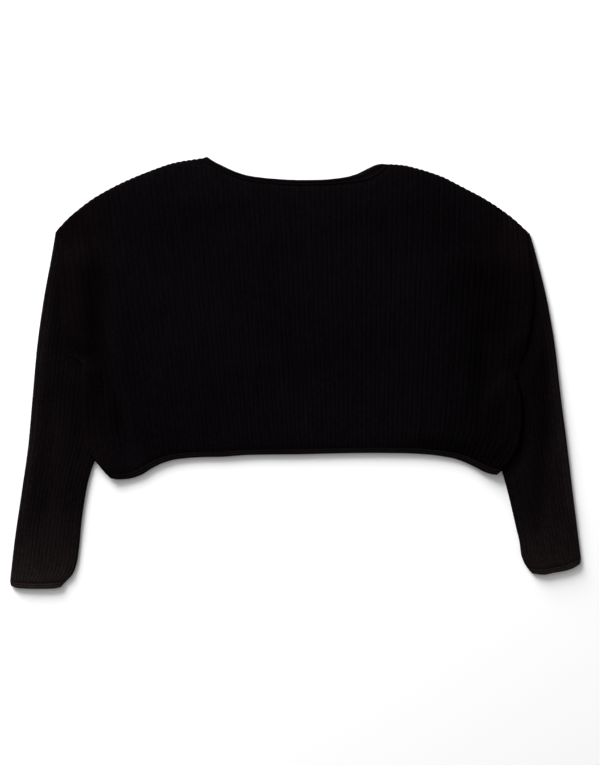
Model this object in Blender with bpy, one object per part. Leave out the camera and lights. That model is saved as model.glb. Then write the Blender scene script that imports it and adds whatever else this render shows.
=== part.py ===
"""A cropped sweater with dropped shoulders, in black rib knit, laid flat on its back.

Lengths in this file are millimetres, and the meshes are made in metres. X runs to the right
of the laid out sweater, Y towards its neck, and Z up from the surface that it lies on. Every
piece is a wall of cloth: a plain inside, and an outside with raised ribs where it faces up.
The body lies over the upper inner part of both sleeves.
"""
import math
from collections import namedtuple

import bpy
import numpy as np

MM = 0.001

# The cloth
BACK_WALL = 2.4
FRONT_WALL = 2.0
RIB_HEIGHT = 0.8
BAND_WALL = 2.5
SEAM_GAP = 0.3
BODY_RIBS = 91
SLEEVE_RIBS = 17
# A plain face has a column on each of this many ribs at its sides, and on every fourth between.
CLOSE_RIBS = 9
PLAIN_STRIDE = 4
# How far its last rows stay back from the neck seam, counted from the top, and its first row
# from the hem seam
NECK_DRAWN_IN = ((-1, 3.6), (-2, 3.0), (-3, 1.0))
HEM_DRAWN_IN = 0.6

# Rounded edges, where a panel turns over to the one below it
EDGE_RADIUS = 4.0
EDGE_LOW = 0.15
EDGE_STEP = 0.9
SCALLOP = 0.5

# How far the body stands over the sleeves that it covers, and how it comes down beside them
OVER_SLEEVE = 6.4
LIFT_SLOPE = 17.0
LIFT_SLOPE_AT_HEM = 28.0
LIFT_RISE = 14.0
LIFT_START = 6.0
HEM_LEVEL = -60.0
CORNER_LEVEL = -125.0

# How far a side edge's own curve bends the ribs beside it, as a share of the width
LEFT_REACH = 0.2
RIGHT_REACH = 0.32

# Neckband, hem band and cuffs: the bands' flat lengths, and how many points each has
HEM_BAND = 6.0
NECK_LENGTH = 250.0
HEM_LENGTH = 520.0
CUFF_LENGTH = 72.0
NECK_POINTS = 38
HEM_POINTS = 56
CUFF_POINTS = 16
BAND_BULGE = 1.18
END_CROWDING = 0.6
# Columns: share of the band's depth from its seam, share of its thickness
BandRow = namedtuple("BandRow", "out thick")
BAND_ROWS = (
    BandRow(0.08, 1.0),
    BandRow(0.3, BAND_BULGE),
    BandRow(0.65, BAND_BULGE),
    BandRow(0.9, 0.85),
    BandRow(1.0, 0.35),
)

# Side edges of the front and back, a row for each section from the hem to the shoulder tips.
# The armholes start in the seventh row, and the rows below it are the side seams.
Section = namedtuple("Section", "left_x left_y right_x right_y")
BODY_SECTIONS = (
    Section(-243.0, -129.0, 264.5, -124.8),
    Section(-257.5, -111.5, 277.0, -109.0),
    Section(-267.0, -98.0, 286.0, -92.5),
    Section(-271.0, -60.0, 290.0, -60.5),
    Section(-272.0, -25.0, 289.0, -36.0),
    Section(-272.5, 1.0, 285.5, -17.0),
    Section(-273.5, 10.0, 281.0, -7.0),
    Section(-280.0, 17.5, 285.0, 5.0),
    Section(-292.5, 21.5, 289.0, 16.5),
    Section(-296.5, 30.0, 293.0, 28.0),
    Section(-298.0, 70.0, 301.0, 66.0),
    Section(-300.5, 110.0, 304.0, 100.0),
    Section(-304.0, 145.0, 301.5, 140.0),
    Section(-306.0, 177.0, 299.3, 175.0),
    Section(-306.3, 179.8, 299.1, 177.8),
    Section(-306.6, 181.0, 299.0, 179.0),
)
UNDERARM = 6

Spot = namedtuple("Spot", "x y")
LEFT_SHOULDER = (
    Spot(-306.6, 181.0),
    Spot(-298.0, 191.5),
    Spot(-280.0, 207.5),
    Spot(-260.0, 222.5),
    Spot(-233.0, 238.0),
    Spot(-197.5, 254.0),
    Spot(-156.0, 268.5),
    Spot(-137.5, 272.0),
    Spot(-121.0, 274.5),
)
NECK_SEAM = (
    Spot(-121.0, 274.5),
    Spot(-112.0, 267.5),
    Spot(-95.0, 258.5),
    Spot(-79.0, 251.5),
    Spot(-62.5, 246.5),
    Spot(-31.0, 242.0),
    Spot(6.0, 240.0),
    Spot(38.0, 240.5),
    Spot(65.0, 242.5),
    Spot(84.0, 244.5),
    Spot(98.0, 248.0),
    Spot(108.0, 253.5),
    Spot(115.0, 260.0),
    Spot(121.0, 267.0),
)
RIGHT_SHOULDER = (
    Spot(121.0, 267.0),
    Spot(139.0, 265.5),
    Spot(154.0, 262.0),
    Spot(185.0, 252.0),
    Spot(215.5, 237.0),
    Spot(246.5, 220.0),
    Spot(277.0, 199.0),
    Spot(292.5, 185.0),
    Spot(299.0, 179.0),
)
NECK_EDGE = (
    Spot(-113.5, 277.0),
    Spot(-104.5, 271.0),
    Spot(-91.5, 264.5),
    Spot(-76.0, 257.5),
    Spot(-61.0, 253.0),
    Spot(-30.0, 249.0),
    Spot(6.0, 247.2),
    Spot(31.5, 247.5),
    Spot(62.0, 250.5),
    Spot(77.5, 254.5),
    Spot(93.0, 262.0),
    Spot(103.0, 266.5),
    Spot(110.5, 268.0),
)
HEM_EDGE = (
    Spot(-237.0, -135.0),
    Spot(-227.0, -136.8),
    Spot(-214.5, -136.0),
    Spot(-199.0, -131.5),
    Spot(-184.0, -122.5),
    Spot(-168.0, -115.0),
    Spot(-153.0, -111.0),
    Spot(-122.0, -108.3),
    Spot(-96.0, -107.8),
    Spot(-58.0, -105.3),
    Spot(6.0, -104.5),
    Spot(57.0, -103.3),
    Spot(95.5, -102.8),
    Spot(139.0, -103.2),
    Spot(169.5, -104.8),
    Spot(200.0, -109.2),
    Spot(216.0, -114.3),
    Spot(231.0, -121.3),
    Spot(241.5, -126.8),
    Spot(251.5, -130.0),
    Spot(258.0, -130.8),
)

# Sleeves, from the shoulder down. The inner edge starts at the underarm, goes in under the
# body and comes out at the hem's corner.
LEFT_OUTER = (
    Spot(-307.4, 181.0),
    Spot(-311.8, 154.5),
    Spot(-323.0, 93.0),
    Spot(-331.5, 31.5),
    Spot(-337.0, -30.0),
    Spot(-342.5, -91.5),
    Spot(-351.0, -152.5),
    Spot(-360.0, -214.0),
    Spot(-366.0, -267.0),
)
LEFT_INNER = (
    Spot(-273.5, 10.0),
    Spot(-273.3, 1.0),
    Spot(-263.0, -13.0),
    Spot(-251.0, -29.0),
    Spot(-246.0, -48.0),
    Spot(-248.5, -76.0),
    Spot(-257.3, -111.7),
    Spot(-262.4, -127.0),
    Spot(-267.0, -145.0),
    Spot(-273.3, -183.5),
    Spot(-279.0, -237.0),
    Spot(-283.0, -252.5),
    Spot(-287.0, -260.0),
    Spot(-294.0, -267.0),
)
RIGHT_OUTER = (
    Spot(300.0, 179.0),
    Spot(303.0, 170.0),
    Spot(307.3, 154.5),
    Spot(322.4, 93.0),
    Spot(333.0, 31.5),
    Spot(340.0, -30.0),
    Spot(348.0, -91.5),
    Spot(355.3, -152.5),
    Spot(363.0, -214.0),
    Spot(366.0, -238.0),
)
RIGHT_INNER = (
    Spot(281.0, -7.0),
    Spot(285.7, -17.5),
    Spot(277.0, -28.0),
    Spot(260.0, -40.0),
    Spot(251.0, -57.0),
    Spot(251.0, -76.0),
    Spot(257.5, -103.0),
    Spot(266.2, -131.0),
    Spot(274.6, -163.0),
    Spot(282.2, -196.0),
    Spot(287.5, -219.3),
    Spot(289.3, -233.3),
    Spot(292.5, -242.3),
    Spot(297.5, -250.5),
)

# Where the body starts to come down beside the part of a sleeve that it covers
LEFT_COVER = (
    Spot(-265.0, 10.0),
    Spot(-254.0, -12.0),
    Spot(-244.5, -40.0),
    Spot(-243.0, -72.0),
    Spot(-252.0, -112.0),
    Spot(-264.0, -150.0),
)
RIGHT_COVER = (
    Spot(274.0, -7.0),
    Spot(259.0, -26.0),
    Spot(249.0, -46.0),
    Spot(247.0, -76.0),
    Spot(252.5, -103.0),
    Spot(261.5, -131.0),
    Spot(271.0, -163.0),
)

# Sleeve ends and the free edges of the cuff bands, from the outer to the inner edge.
Cuff = namedtuple("Cuff", "share sleeve_y free_x free_y")
LEFT_CUFF = (
    Cuff(0.0, -267.0, -364.5, -273.5),
    Cuff(0.15, -269.3, -354.0, -276.2),
    Cuff(0.5, -270.3, -331.5, -277.0),
    Cuff(0.8, -269.5, -311.0, -276.7),
    Cuff(1.0, -267.0, -301.0, -275.0),
)
RIGHT_CUFF = (
    Cuff(0.0, -238.0, 365.0, -245.0),
    Cuff(0.12, -242.5, 357.0, -250.0),
    Cuff(0.3, -247.0, 345.0, -254.0),
    Cuff(0.5, -250.0, 331.0, -256.5),
    Cuff(0.7, -252.0, 318.5, -259.0),
    Cuff(1.0, -250.5, 303.5, -257.3),
)
# Shares of the way down a sleeve, and shares of its cloth for its plain faces
SLEEVE_ROWS = (0.0, 0.035, 0.085, 0.14, 0.21, 0.3, 0.4, 0.52, 0.64, 0.76, 0.88, 0.955, 0.985, 1.0)
UNDER_SHARES = (0.04, 0.2, 0.5, 0.8, 0.96)
HOLLOW_SHARES = (0.03, 0.08, 0.25, 0.5, 0.75, 0.92, 0.97)
# The ribs keep their width over this share of a sleeve, and the rest is drawn in at the
# underarm, down to the fifth spot of its inner edge. Ribs under a width of FINE_RIB are lower.
EVEN_SHARE = 0.56
DRAWN_IN_TO = 4
FINE_RIB = 4.0
SLEEVE_WIDTH = 90.0
# How far the upper side of a sleeve stands off the lower, and over which lengths that fades
SLEEVE_PUFF = 2.6
PUFF_ROUNDNESS = 0.8
PUFF_SLOPE = 20.0
CUFF_PUFF = 0.35
CUFF_EASE = 70.0

# Folds of the front: from a start to an end, with a sideways bow, a half width and a height.
# Each dies out over a quarter of its length at both ends.
FOLD_ENDS = 4.0
Fold = namedtuple("Fold", "x0 y0 x1 y1 bow width height")
BODY_FOLDS = (
    Fold(-263.0, 175.0, -262.0, -75.0, 0.0, 10.0, -2.4),
    Fold(-250.0, 120.0, -233.0, -105.0, 2.0, 9.0, 1.4),
    Fold(-256.5, 115.0, -215.0, -125.0, 4.0, 9.0, -1.8),
    Fold(-236.0, 60.0, -197.0, -120.0, 4.0, 12.0, 1.2),
    Fold(235.0, 40.0, 270.0, -75.0, -9.0, 12.0, -2.2),
    Fold(262.0, 40.0, 282.0, -80.0, 0.0, 9.0, 1.2),
    Fold(218.0, 90.0, 232.0, -110.0, 0.0, 16.0, 0.9),
)
# The front swells beside the armholes and side seams: where the swell starts and is full.
Swell = namedtuple("Swell", "start full top bottom height")
LEFT_SWELL = Swell(-190.0, -240.0, 175.0, -135.0, 2.6)
RIGHT_SWELL = Swell(185.0, 245.0, 170.0, -125.0, 2.4)
SWELL_FADE = 45.0
SIDE_PINCH = 18.0
TOP_PINCH = 30.0
HEM_PINCH = 20.0

LEFT_SLEEVE_FOLDS = (
    Fold(-315.5, 0.0, -316.0, -210.0, 0.0, 11.0, -2.0),
)
RIGHT_SLEEVE_FOLDS = (
    Fold(322.0, -60.0, 313.0, -235.0, 0.0, 11.0, -1.8),
    Fold(334.0, 20.0, 343.0, -140.0, 0.0, 14.0, 0.8),
)

# Colours of the dry cloth, as linear red, green and blue
BODY_COLOUR = (0.0065, 0.0062, 0.0072, 1.0)
SLEEVE_COLOUR = (0.0085, 0.0076, 0.0072, 1.0)
BAND_COLOUR = (0.0095, 0.0088, 0.0088, 1.0)
CLOTH_ROUGHNESS = 0.95
SHARP_ANGLE = math.radians(50.0)

# Samples for finding where each rib of a sleeve starts
SHARE_SAMPLES = 401
HEIGHT_SAMPLES = 1201


def smooth(share):
    """Rises softly from 0 to 1 as the share does."""
    share = np.clip(share, 0.0, 1.0)
    return share * share * (3.0 - 2.0 * share)


def mix(start, end, share):
    return start + (end - start) * share


def through(knots, values, at):
    """A smooth curve through the values at rising knots."""
    knots = np.asarray(knots, dtype=float)
    values = np.asarray(values, dtype=float)
    at = np.clip(np.asarray(at, dtype=float), knots[0], knots[-1])
    slopes = np.gradient(values, knots)
    piece = np.clip(np.searchsorted(knots, at, side="right") - 1, 0, len(knots) - 2)
    span = knots[piece + 1] - knots[piece]
    t = (at - knots[piece]) / span
    ease = t * t * (3.0 - 2.0 * t)
    leave = t * (1.0 - t) ** 2 * span * slopes[piece]
    arrive = t * t * (1.0 - t) * span * slopes[piece + 1]
    return mix(values[piece], values[piece + 1], ease) + leave - arrive


def y_along(table, x):
    """Height on the page of an edge that runs from left to right."""
    return through([spot.x for spot in table], [spot.y for spot in table], x)


def x_down(table, y):
    """Place across the page of an edge whose spots run downwards."""
    rising = table[::-1]
    return through([spot.y for spot in rising], [spot.x for spot in rising], y)


def column(name):
    return np.array([getattr(section, name) for section in BODY_SECTIONS])


def hem_seam(across):
    """Seam between the panels and the hem band."""
    first, last = BODY_SECTIONS[0], HEM_EDGE[-1]
    free_x = mix(HEM_EDGE[0].x, last.x, across)
    return mix(first.left_x, first.right_x, across), y_along(HEM_EDGE, free_x) + HEM_BAND


def top_line(across):
    """Left shoulder, neck seam and right shoulder."""
    x = mix(BODY_SECTIONS[-1].left_x, BODY_SECTIONS[-1].right_x, across)
    y = np.where(x < NECK_SEAM[0].x, y_along(LEFT_SHOULDER, x), y_along(NECK_SEAM, x))
    return x, np.where(x > NECK_SEAM[-1].x, y_along(RIGHT_SHOULDER, x), y)


def body_plan(across):
    """Places across and along of a panel's points, a row for each section."""
    left_x, left_y = column("left_x"), column("left_y")
    right_x, right_y = column("right_x"), column("right_y")
    left_up = (left_y - left_y[0]) / (left_y[-1] - left_y[0])
    right_up = (right_y - right_y[0]) / (right_y[-1] - right_y[0])
    up = mix(left_up[:, None], right_up[:, None], across[None, :])
    hem_x, hem_y = hem_seam(across)
    top_x, top_y = top_line(across)
    left_bend = left_x - mix(left_x[0], left_x[-1], left_up)
    right_bend = right_x - mix(right_x[0], right_x[-1], right_up)
    near_left = np.clip(1.0 - across / LEFT_REACH, 0.0, 1.0) ** 2
    near_right = np.clip(1.0 - (1.0 - across) / RIGHT_REACH, 0.0, 1.0) ** 2
    x = mix(hem_x, top_x, up) + left_bend[:, None] * near_left + right_bend[:, None] * near_right
    y = mix(hem_y, top_y, up)
    to_top = (1.0 - up) * (top_y - hem_y)
    return x, y, to_top


def side_x(y, side):
    """The body's edge at the left (-1) or right (+1), as the straight run of its sections."""
    names = ("left_x", "left_y") if side < 0 else ("right_x", "right_y")
    below = column(names[1])[0] - y
    return np.interp(y, column(names[1]), column(names[0])) - side * np.clip(below, 0.0, None)


def fold_height(folds, x, y):
    """Height that the folds add, each a soft ridge or trough that dies out at its ends."""
    total = np.zeros(np.shape(x))
    for fold in folds:
        length = math.hypot(fold.x1 - fold.x0, fold.y1 - fold.y0)
        along_x, along_y = (fold.x1 - fold.x0) / length, (fold.y1 - fold.y0) / length
        along = ((x - fold.x0) * along_x + (y - fold.y0) * along_y) / length
        aside = (y - fold.y0) * along_x - (x - fold.x0) * along_y
        aside = aside - fold.bow * np.sin(math.pi * np.clip(along, 0.0, 1.0))
        ends = smooth(along * FOLD_ENDS) * smooth((1.0 - along) * FOLD_ENDS)
        total = total + fold.height * ends * np.exp(-((aside / fold.width) ** 2))
    return total


def lift(x, y):
    """How high the body's back stands over the surface, on the sleeves that it covers."""
    low = smooth((HEM_LEVEL - y) / (HEM_LEVEL - CORNER_LEVEL))
    slope = mix(LIFT_SLOPE, LIFT_SLOPE_AT_HEM, low)
    total = 0.0
    for side, cover in ((-1.0, LEFT_COVER), (1.0, RIGHT_COVER)):
        away = side * (x_down(cover, y) - x)
        rise = smooth((cover[0].y + LIFT_START - y) / LIFT_RISE)
        total = total + OVER_SLEEVE * smooth(1.0 - away / slope) * rise
    return total


def puff(x, y):
    """How far the front stands off the back, beside the armholes and in the folds."""
    height = 0.0
    edge = 1.0
    for side, swell in ((-1.0, LEFT_SWELL), (1.0, RIGHT_SWELL)):
        reach = smooth((x - swell.start) / (swell.full - swell.start))
        ends = smooth((swell.top - y) / SWELL_FADE) * smooth((y - swell.bottom) / SWELL_FADE)
        height = height + swell.height * reach * ends
        underarm = LEFT_INNER[0].y if side < 0 else RIGHT_INNER[0].y
        seam = smooth((underarm - y) / SIDE_PINCH + 1.0)
        pinch = smooth(side * (side_x(y, side) - x) / SIDE_PINCH)
        edge = edge * mix(1.0, pinch, seam)
    top = np.interp(x, *zip(*(LEFT_SHOULDER + NECK_SEAM[1:] + RIGHT_SHOULDER[1:])))
    hem = y_along(HEM_EDGE, x) + HEM_BAND
    edge = edge * smooth((top - y) / TOP_PINCH) * smooth((y - hem) / HEM_PINCH)
    return np.maximum(height + fold_height(BODY_FOLDS, x, y), 0.0) * edge


def body_levels(x, y, _share=None):
    """Heights of the back's underside and inside, and of the front's inside."""
    under = lift(x, y)
    return under, under + BACK_WALL, under + BACK_WALL + SEAM_GAP + puff(x, y)


def rounded(distance):
    """Share of the wall's height at a distance from an edge that turns over."""
    inside = 1.0 - np.clip(distance / EDGE_RADIUS, 0.0, 1.0)
    return EDGE_LOW + (1.0 - EDGE_LOW) * np.sqrt(1.0 - inside ** 2)


def panel_edge(x, y, to_top):
    """Share of a panel's thickness: it is rounded at its side seams and shoulders."""
    share = np.ones(np.shape(x))
    for side, underarm in ((-1.0, LEFT_INNER[0].y), (1.0, RIGHT_INNER[0].y)):
        distance = side * (side_x(y, side) - x)
        share = np.where(y < underarm - SEAM_GAP, share * rounded(distance), share)
    shoulder = (x < NECK_SEAM[0].x) | (x > NECK_SEAM[-1].x)
    return np.where(shoulder, share * rounded(to_top), share)


def rib_wave(across, ribs):
    """1 on the crests of the ribs and 0 between them, straight in between."""
    phase = (across * ribs) % 1.0
    return 1.0 - np.abs(2.0 * phase - 1.0)


def body_columns():
    """Columns for the ribbed outside, and the fewer ones for a plain face."""
    step = EDGE_STEP / (BODY_SECTIONS[-1].right_x - BODY_SECTIONS[-1].left_x)
    ribbed = np.arange(1, 2 * BODY_RIBS) / (2 * BODY_RIBS)
    middle = range(CLOSE_RIBS + 1, BODY_RIBS - CLOSE_RIBS, PLAIN_STRIDE)
    crests = [*range(CLOSE_RIBS), *middle, *range(BODY_RIBS - CLOSE_RIBS, BODY_RIBS)]
    plain = (np.array(crests) + 0.5) / BODY_RIBS
    ends = ([0.0, step], [1.0 - step, 1.0])
    return np.concatenate([ends[0], ribbed, ends[1]]), np.concatenate([ends[0], plain, ends[1]])


def keep_inside(x, y):
    """Draws a plain face's neck and hem rows in, so that its long sides stay off the bands."""
    y = y.copy()
    neck = (x[-1] > NECK_SEAM[0].x) & (x[-1] < NECK_SEAM[-1].x)
    for row, drawn_in in NECK_DRAWN_IN:
        y[row] = np.where(neck, y[row] - drawn_in, y[row])
    y[-1] = np.where(neck, y[-1], y[-1] - SEAM_GAP)
    y[0] = y[0] + HEM_DRAWN_IN
    return y


def grid_faces(rows, columns, closed, first):
    """Triangles of a grid of points, as corner numbers."""
    faces = []
    wide = columns if closed else columns - 1
    for row in range(rows - 1):
        for col in range(wide):
            a = first + row * columns + col
            b = first + row * columns + (col + 1) % columns
            c, d = b + columns, a + columns
            faces += [(a, b, c), (a, c, d)]
    return faces


def stitched(first, second, first_at, second_at):
    """Triangles between two rows of corners that run side by side."""
    faces = []
    i, j = 0, 0
    while i < len(first) - 1 or j < len(second) - 1:
        first_next = i < len(first) - 1
        if first_next and j < len(second) - 1:
            first_next = first_at[i + 1] <= second_at[j + 1]
        if first_next:
            faces.append((first[i + 1], first[i], second[j]))
            i += 1
        else:
            faces.append((second[j], second[j + 1], first[i]))
            j += 1
    return faces


def volume(points, faces):
    a, b, c = (points[[face[k] for face in faces]] for k in range(3))
    return float(np.einsum("ij,ij->i", a, np.cross(b, c)).sum()) / 6.0


def add_cloth(name, points, faces, colour):
    """One closed piece of cloth as an object of its own."""
    if volume(points, faces) < 0.0:
        faces = [face[::-1] for face in faces]
    mesh = bpy.data.meshes.new(name)
    mesh.from_pydata((points * MM).tolist(), [], faces)
    mesh.shade_smooth()
    mesh.set_sharp_from_angle(angle=SHARP_ANGLE)
    material = bpy.data.materials.new(name + "_knit")
    material.use_nodes = True
    shader = material.node_tree.nodes["Principled BSDF"]
    shader.inputs["Base Color"].default_value = colour
    shader.inputs["Roughness"].default_value = CLOTH_ROUGHNESS
    shader.inputs["Metallic"].default_value = 0.0
    mesh.materials.append(material)
    piece = bpy.data.objects.new(name, mesh)
    bpy.context.scene.collection.objects.link(piece)
    return piece


def add_wall(name, outer, inner, outer_at, inner_at, closed, colour):
    """A wall between an outer and an inner grid of points, closed along its rims."""
    rows, wide = outer.shape[:2]
    inner_rows, inner_wide = inner.shape[:2]
    start = rows * wide
    faces = grid_faces(rows, wide, closed, 0)
    faces += [face[::-1] for face in grid_faces(inner_rows, inner_wide, closed, start)]
    for last in (False, True):
        outer_row = (rows - 1) * wide * last + np.arange(wide)
        inner_row = start + (inner_rows - 1) * inner_wide * last + np.arange(inner_wide)
        if closed:
            outer_row = np.append(outer_row, outer_row[0])
            inner_row = np.append(inner_row, inner_row[0])
        rim = stitched(outer_row.tolist(), inner_row.tolist(), outer_at, inner_at)
        faces += [face[::-1] for face in rim] if last else rim
    if not closed:
        for col, inner_col, flip in ((0, 0, False), (wide - 1, inner_wide - 1, True)):
            for row in range(rows - 1):
                a, b = row * wide + col, (row + 1) * wide + col
                c = start + row * inner_wide + inner_col
                d = c + inner_wide
                strip = [(a, b, d), (a, d, c)]
                faces += [face[::-1] for face in strip] if flip else strip
    points = np.concatenate([outer.reshape(-1, 3), inner.reshape(-1, 3)])
    return add_cloth(name, points, faces, colour)


def make_front():
    ribbed, plain = body_columns()
    x, y, to_top = body_plan(ribbed)
    wave = rib_wave(ribbed, BODY_RIBS)[None, :] * np.ones(np.shape(x))
    edge = panel_edge(x, y, to_top)
    thick = (FRONT_WALL + RIB_HEIGHT * wave) * edge
    outer = np.stack([x, y + SCALLOP * wave * (1.0 - edge), body_levels(x, y)[2] + thick], axis=-1)
    x, y, to_top = body_plan(plain)
    high = body_levels(x, y)[2]
    y = keep_inside(x, y)
    inner = np.stack([x, y, high], axis=-1)
    add_wall("front", outer, inner, ribbed, plain, False, BODY_COLOUR)


def make_back():
    plain = body_columns()[1]
    x, y, to_top = body_plan(plain)
    under, low, _ = body_levels(x, y)
    rise = BACK_WALL * (1.0 - panel_edge(x, y, to_top))
    y = keep_inside(x, y)
    outer = np.stack([x, y, under + rise], axis=-1)
    inner = np.stack([x, y, low], axis=-1)
    add_wall("back", outer, inner, plain, plain, False, BODY_COLOUR)


class Sleeve:
    """Plan and heights of one sleeve, a flattened tube from the armhole to the cuff."""

    def __init__(self, side, outer, inner, cuff, folds):
        self.side, self.outer, self.inner, self.cuff, self.folds = side, outer, inner, cuff, folds
        self.even_below = inner[DRAWN_IN_TO].y
        names = ("left_x", "left_y") if side < 0 else ("right_x", "right_y")
        self.arm_x = column(names[0])[UNDERARM:] + side * SEAM_GAP
        self.arm_y = column(names[1])[UNDERARM:] - SEAM_GAP

    def outer_x(self, y):
        return x_down(self.outer, y)

    def width(self, y):
        return np.abs(x_down(self.inner, y) - self.outer_x(y))

    def reach(self, share, y):
        """Distance in from the outer edge, for a share of the sleeve's cloth."""
        even = self.width(np.minimum(y, self.even_below))
        rest = (share - EVEN_SHARE) / (1.0 - EVEN_SHARE)
        drawn_in = EVEN_SHARE * even + rest * (self.width(y) - EVEN_SHARE * even)
        return np.where(share < EVEN_SHARE, share * even, drawn_in)

    def armhole_share(self, y):
        """Share of the cloth whose rib starts at the armhole seam at a height."""
        distance = np.abs(np.interp(y, self.arm_y, self.arm_x) - self.outer_x(y))
        shares = np.linspace(0.0, 1.0, SHARE_SAMPLES)
        return float(np.interp(distance, self.reach(shares, y), shares))

    def start_y(self, share):
        heights = np.linspace(self.arm_y[0], self.arm_y[-1], HEIGHT_SAMPLES)
        shares = np.array([self.armhole_share(y) for y in heights])
        return np.interp(share, shares[::-1], heights[::-1])

    def plan(self, share, rows):
        """Places of points for shares of the cloth round the tube, a row for each section."""
        start = self.start_y(share)
        end = through([cut.share for cut in self.cuff], [cut.sleeve_y for cut in self.cuff], share)
        y = mix(start[None, :], end[None, :], np.asarray(rows)[:, None])
        x = self.outer_x(y) - self.side * self.reach(share[None, :], y)
        return x, y

    def levels(self, x, y, share):
        """Heights of the underside, the lower inside and the upper inside."""
        free = smooth(self.side * (x - side_x(y, self.side)) / PUFF_SLOPE)
        end = smooth((self.cuff[0].sleeve_y + CUFF_EASE - y) / CUFF_EASE)
        dome = SLEEVE_PUFF * np.sin(math.pi * np.clip(share, 0.0, 1.0)) ** PUFF_ROUNDNESS
        rise = dome * mix(1.0, CUFF_PUFF, end) + fold_height(self.folds, x, y)
        rise = np.maximum(rise, 0.0) * free
        floor = np.zeros(np.shape(x))
        return floor, floor + BACK_WALL, floor + BACK_WALL + SEAM_GAP + rise

    def corner_shares(self):
        """Shares of the ribs that start at the armhole's corners, but for those at its top."""
        return [self.armhole_share(y) for y in self.arm_y[1:-3]]


def ring_of(top, bottom):
    """A closed ring of points: over the top to the far side, and back along the bottom."""
    return np.concatenate([top, bottom[:, ::-1]], axis=1)


def ring_shares(top, bottom):
    """Rising numbers along such a ring, to pair its points with those of another ring."""
    return np.concatenate([top, 2.0 - bottom[::-1], [2.0 + top[0]]])


def tube_share(share, width):
    """Share of the wall's thickness round the side folds of a flattened tube."""
    return rounded(np.minimum(share, 1.0 - share) * width)


def with_corners(shares, corners):
    """The shares and the corners' shares, in rising order with none twice."""
    return np.unique(np.round(np.concatenate([shares, corners]), 5))


def make_sleeve(name, sleeve):
    corners = sleeve.corner_shares()
    ribs = np.arange(1, 2 * SLEEVE_RIBS) / (2 * SLEEVE_RIBS)
    step = EDGE_STEP / SLEEVE_WIDTH
    top = with_corners([0.0, step, *ribs, 1.0 - step, 1.0], corners)
    under = with_corners([step, *UNDER_SHARES, 1.0 - step], corners)
    hollow = with_corners(HOLLOW_SHARES, corners)
    hollow = hollow[hollow <= HOLLOW_SHARES[-1]]

    x, y = sleeve.plan(top, SLEEVE_ROWS)
    high = sleeve.levels(x, y, top)[2]
    reach = np.abs(x - sleeve.outer_x(y))
    pitch = np.gradient(reach, axis=1) / np.gradient(top) / SLEEVE_RIBS
    wave = rib_wave(top, SLEEVE_RIBS) * np.clip(pitch / FINE_RIB, 0.0, 1.0)
    thick = (FRONT_WALL + RIB_HEIGHT * wave) * tube_share(top, SLEEVE_WIDTH)
    upper = np.stack([x, y, high + thick], axis=-1)
    x, y = sleeve.plan(under, SLEEVE_ROWS)
    floor = sleeve.levels(x, y, under)[0]
    rise = BACK_WALL * (1.0 - tube_share(under, SLEEVE_WIDTH))
    lower = np.stack([x, y, floor + rise], axis=-1)
    x, y = sleeve.plan(hollow, SLEEVE_ROWS)
    _, low, high = sleeve.levels(x, y, hollow)
    outer = ring_of(upper, lower)
    inner = ring_of(np.stack([x, y, high], axis=-1), np.stack([x, y, low], axis=-1))
    outer_at, inner_at = ring_shares(top, under), ring_shares(hollow, hollow)
    add_wall(name, outer, inner, outer_at, inner_at, True, SLEEVE_COLOUR)


def spaced(first, last, count):
    """Rising shares from first to last, a little closer at both ends."""
    even = np.linspace(0.0, 1.0, count)
    return mix(first, last, even - END_CROWDING * np.sin(2.0 * math.pi * even) / (2.0 * math.pi))


def make_band(name, seam, free, levels, count, length):
    """A narrow tubular band round an opening, flattened: its seam and free edge as functions."""
    step = EDGE_STEP / length
    fold = EDGE_RADIUS / length
    top = np.concatenate([[0.0, step], spaced(fold, 1.0 - fold, count), [1.0 - step, 1.0]])
    under = np.concatenate([[step], spaced(fold, 1.0 - fold, count // 2), [1.0 - step]])
    hollow = spaced(fold, 1.0 - fold, count // 2)
    upper, lower, roof, floor = [], [], [], []
    for row in BAND_ROWS:
        x, y = (mix(a, b, row.out) for a, b in zip(seam(top), free(top)))
        high = levels(x, y, top)[2]
        upper.append(np.stack([x, y, high + BAND_WALL * row.thick * tube_share(top, length)], axis=-1))
        x, y = (mix(a, b, row.out) for a, b in zip(seam(under), free(under)))
        low = levels(x, y, under)[0]
        thin = 1.0 - min(row.thick, 1.0) * tube_share(under, length)
        lower.append(np.stack([x, y, low + BACK_WALL * thin], axis=-1))
    for row in (BAND_ROWS[0], BAND_ROWS[-1]):
        x, y = (mix(a, b, row.out) for a, b in zip(seam(hollow), free(hollow)))
        _, low, high = levels(x, y, hollow)
        roof.append(np.stack([x, y, high], axis=-1))
        floor.append(np.stack([x, y, low], axis=-1))
    outer = ring_of(np.array(upper), np.array(lower))
    inner = ring_of(np.array(roof), np.array(floor))
    add_wall(name, outer, inner, ring_shares(top, under), ring_shares(hollow, hollow), True, BAND_COLOUR)


def neck_seam(share):
    x = mix(NECK_SEAM[0].x, NECK_SEAM[-1].x, share)
    return x, y_along(NECK_SEAM, x)


def neck_edge(share):
    x = mix(NECK_EDGE[0].x, NECK_EDGE[-1].x, share)
    return x, y_along(NECK_EDGE, x)


def hem_edge(share):
    x = mix(HEM_EDGE[0].x, HEM_EDGE[-1].x, share)
    return x, y_along(HEM_EDGE, x)


def make_cuff(name, sleeve):
    shares = [cut.share for cut in sleeve.cuff]

    def seam(share):
        x, y = sleeve.plan(share, [1.0])
        return x[0], y[0]

    def free(share):
        x = through(shares, [cut.free_x for cut in sleeve.cuff], share)
        return x, through(shares, [cut.free_y for cut in sleeve.cuff], share)

    make_band(name, seam, free, sleeve.levels, CUFF_POINTS, CUFF_LENGTH)


def clear_scene():
    for old in list(bpy.data.objects):
        bpy.data.objects.remove(old, do_unlink=True)


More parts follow.
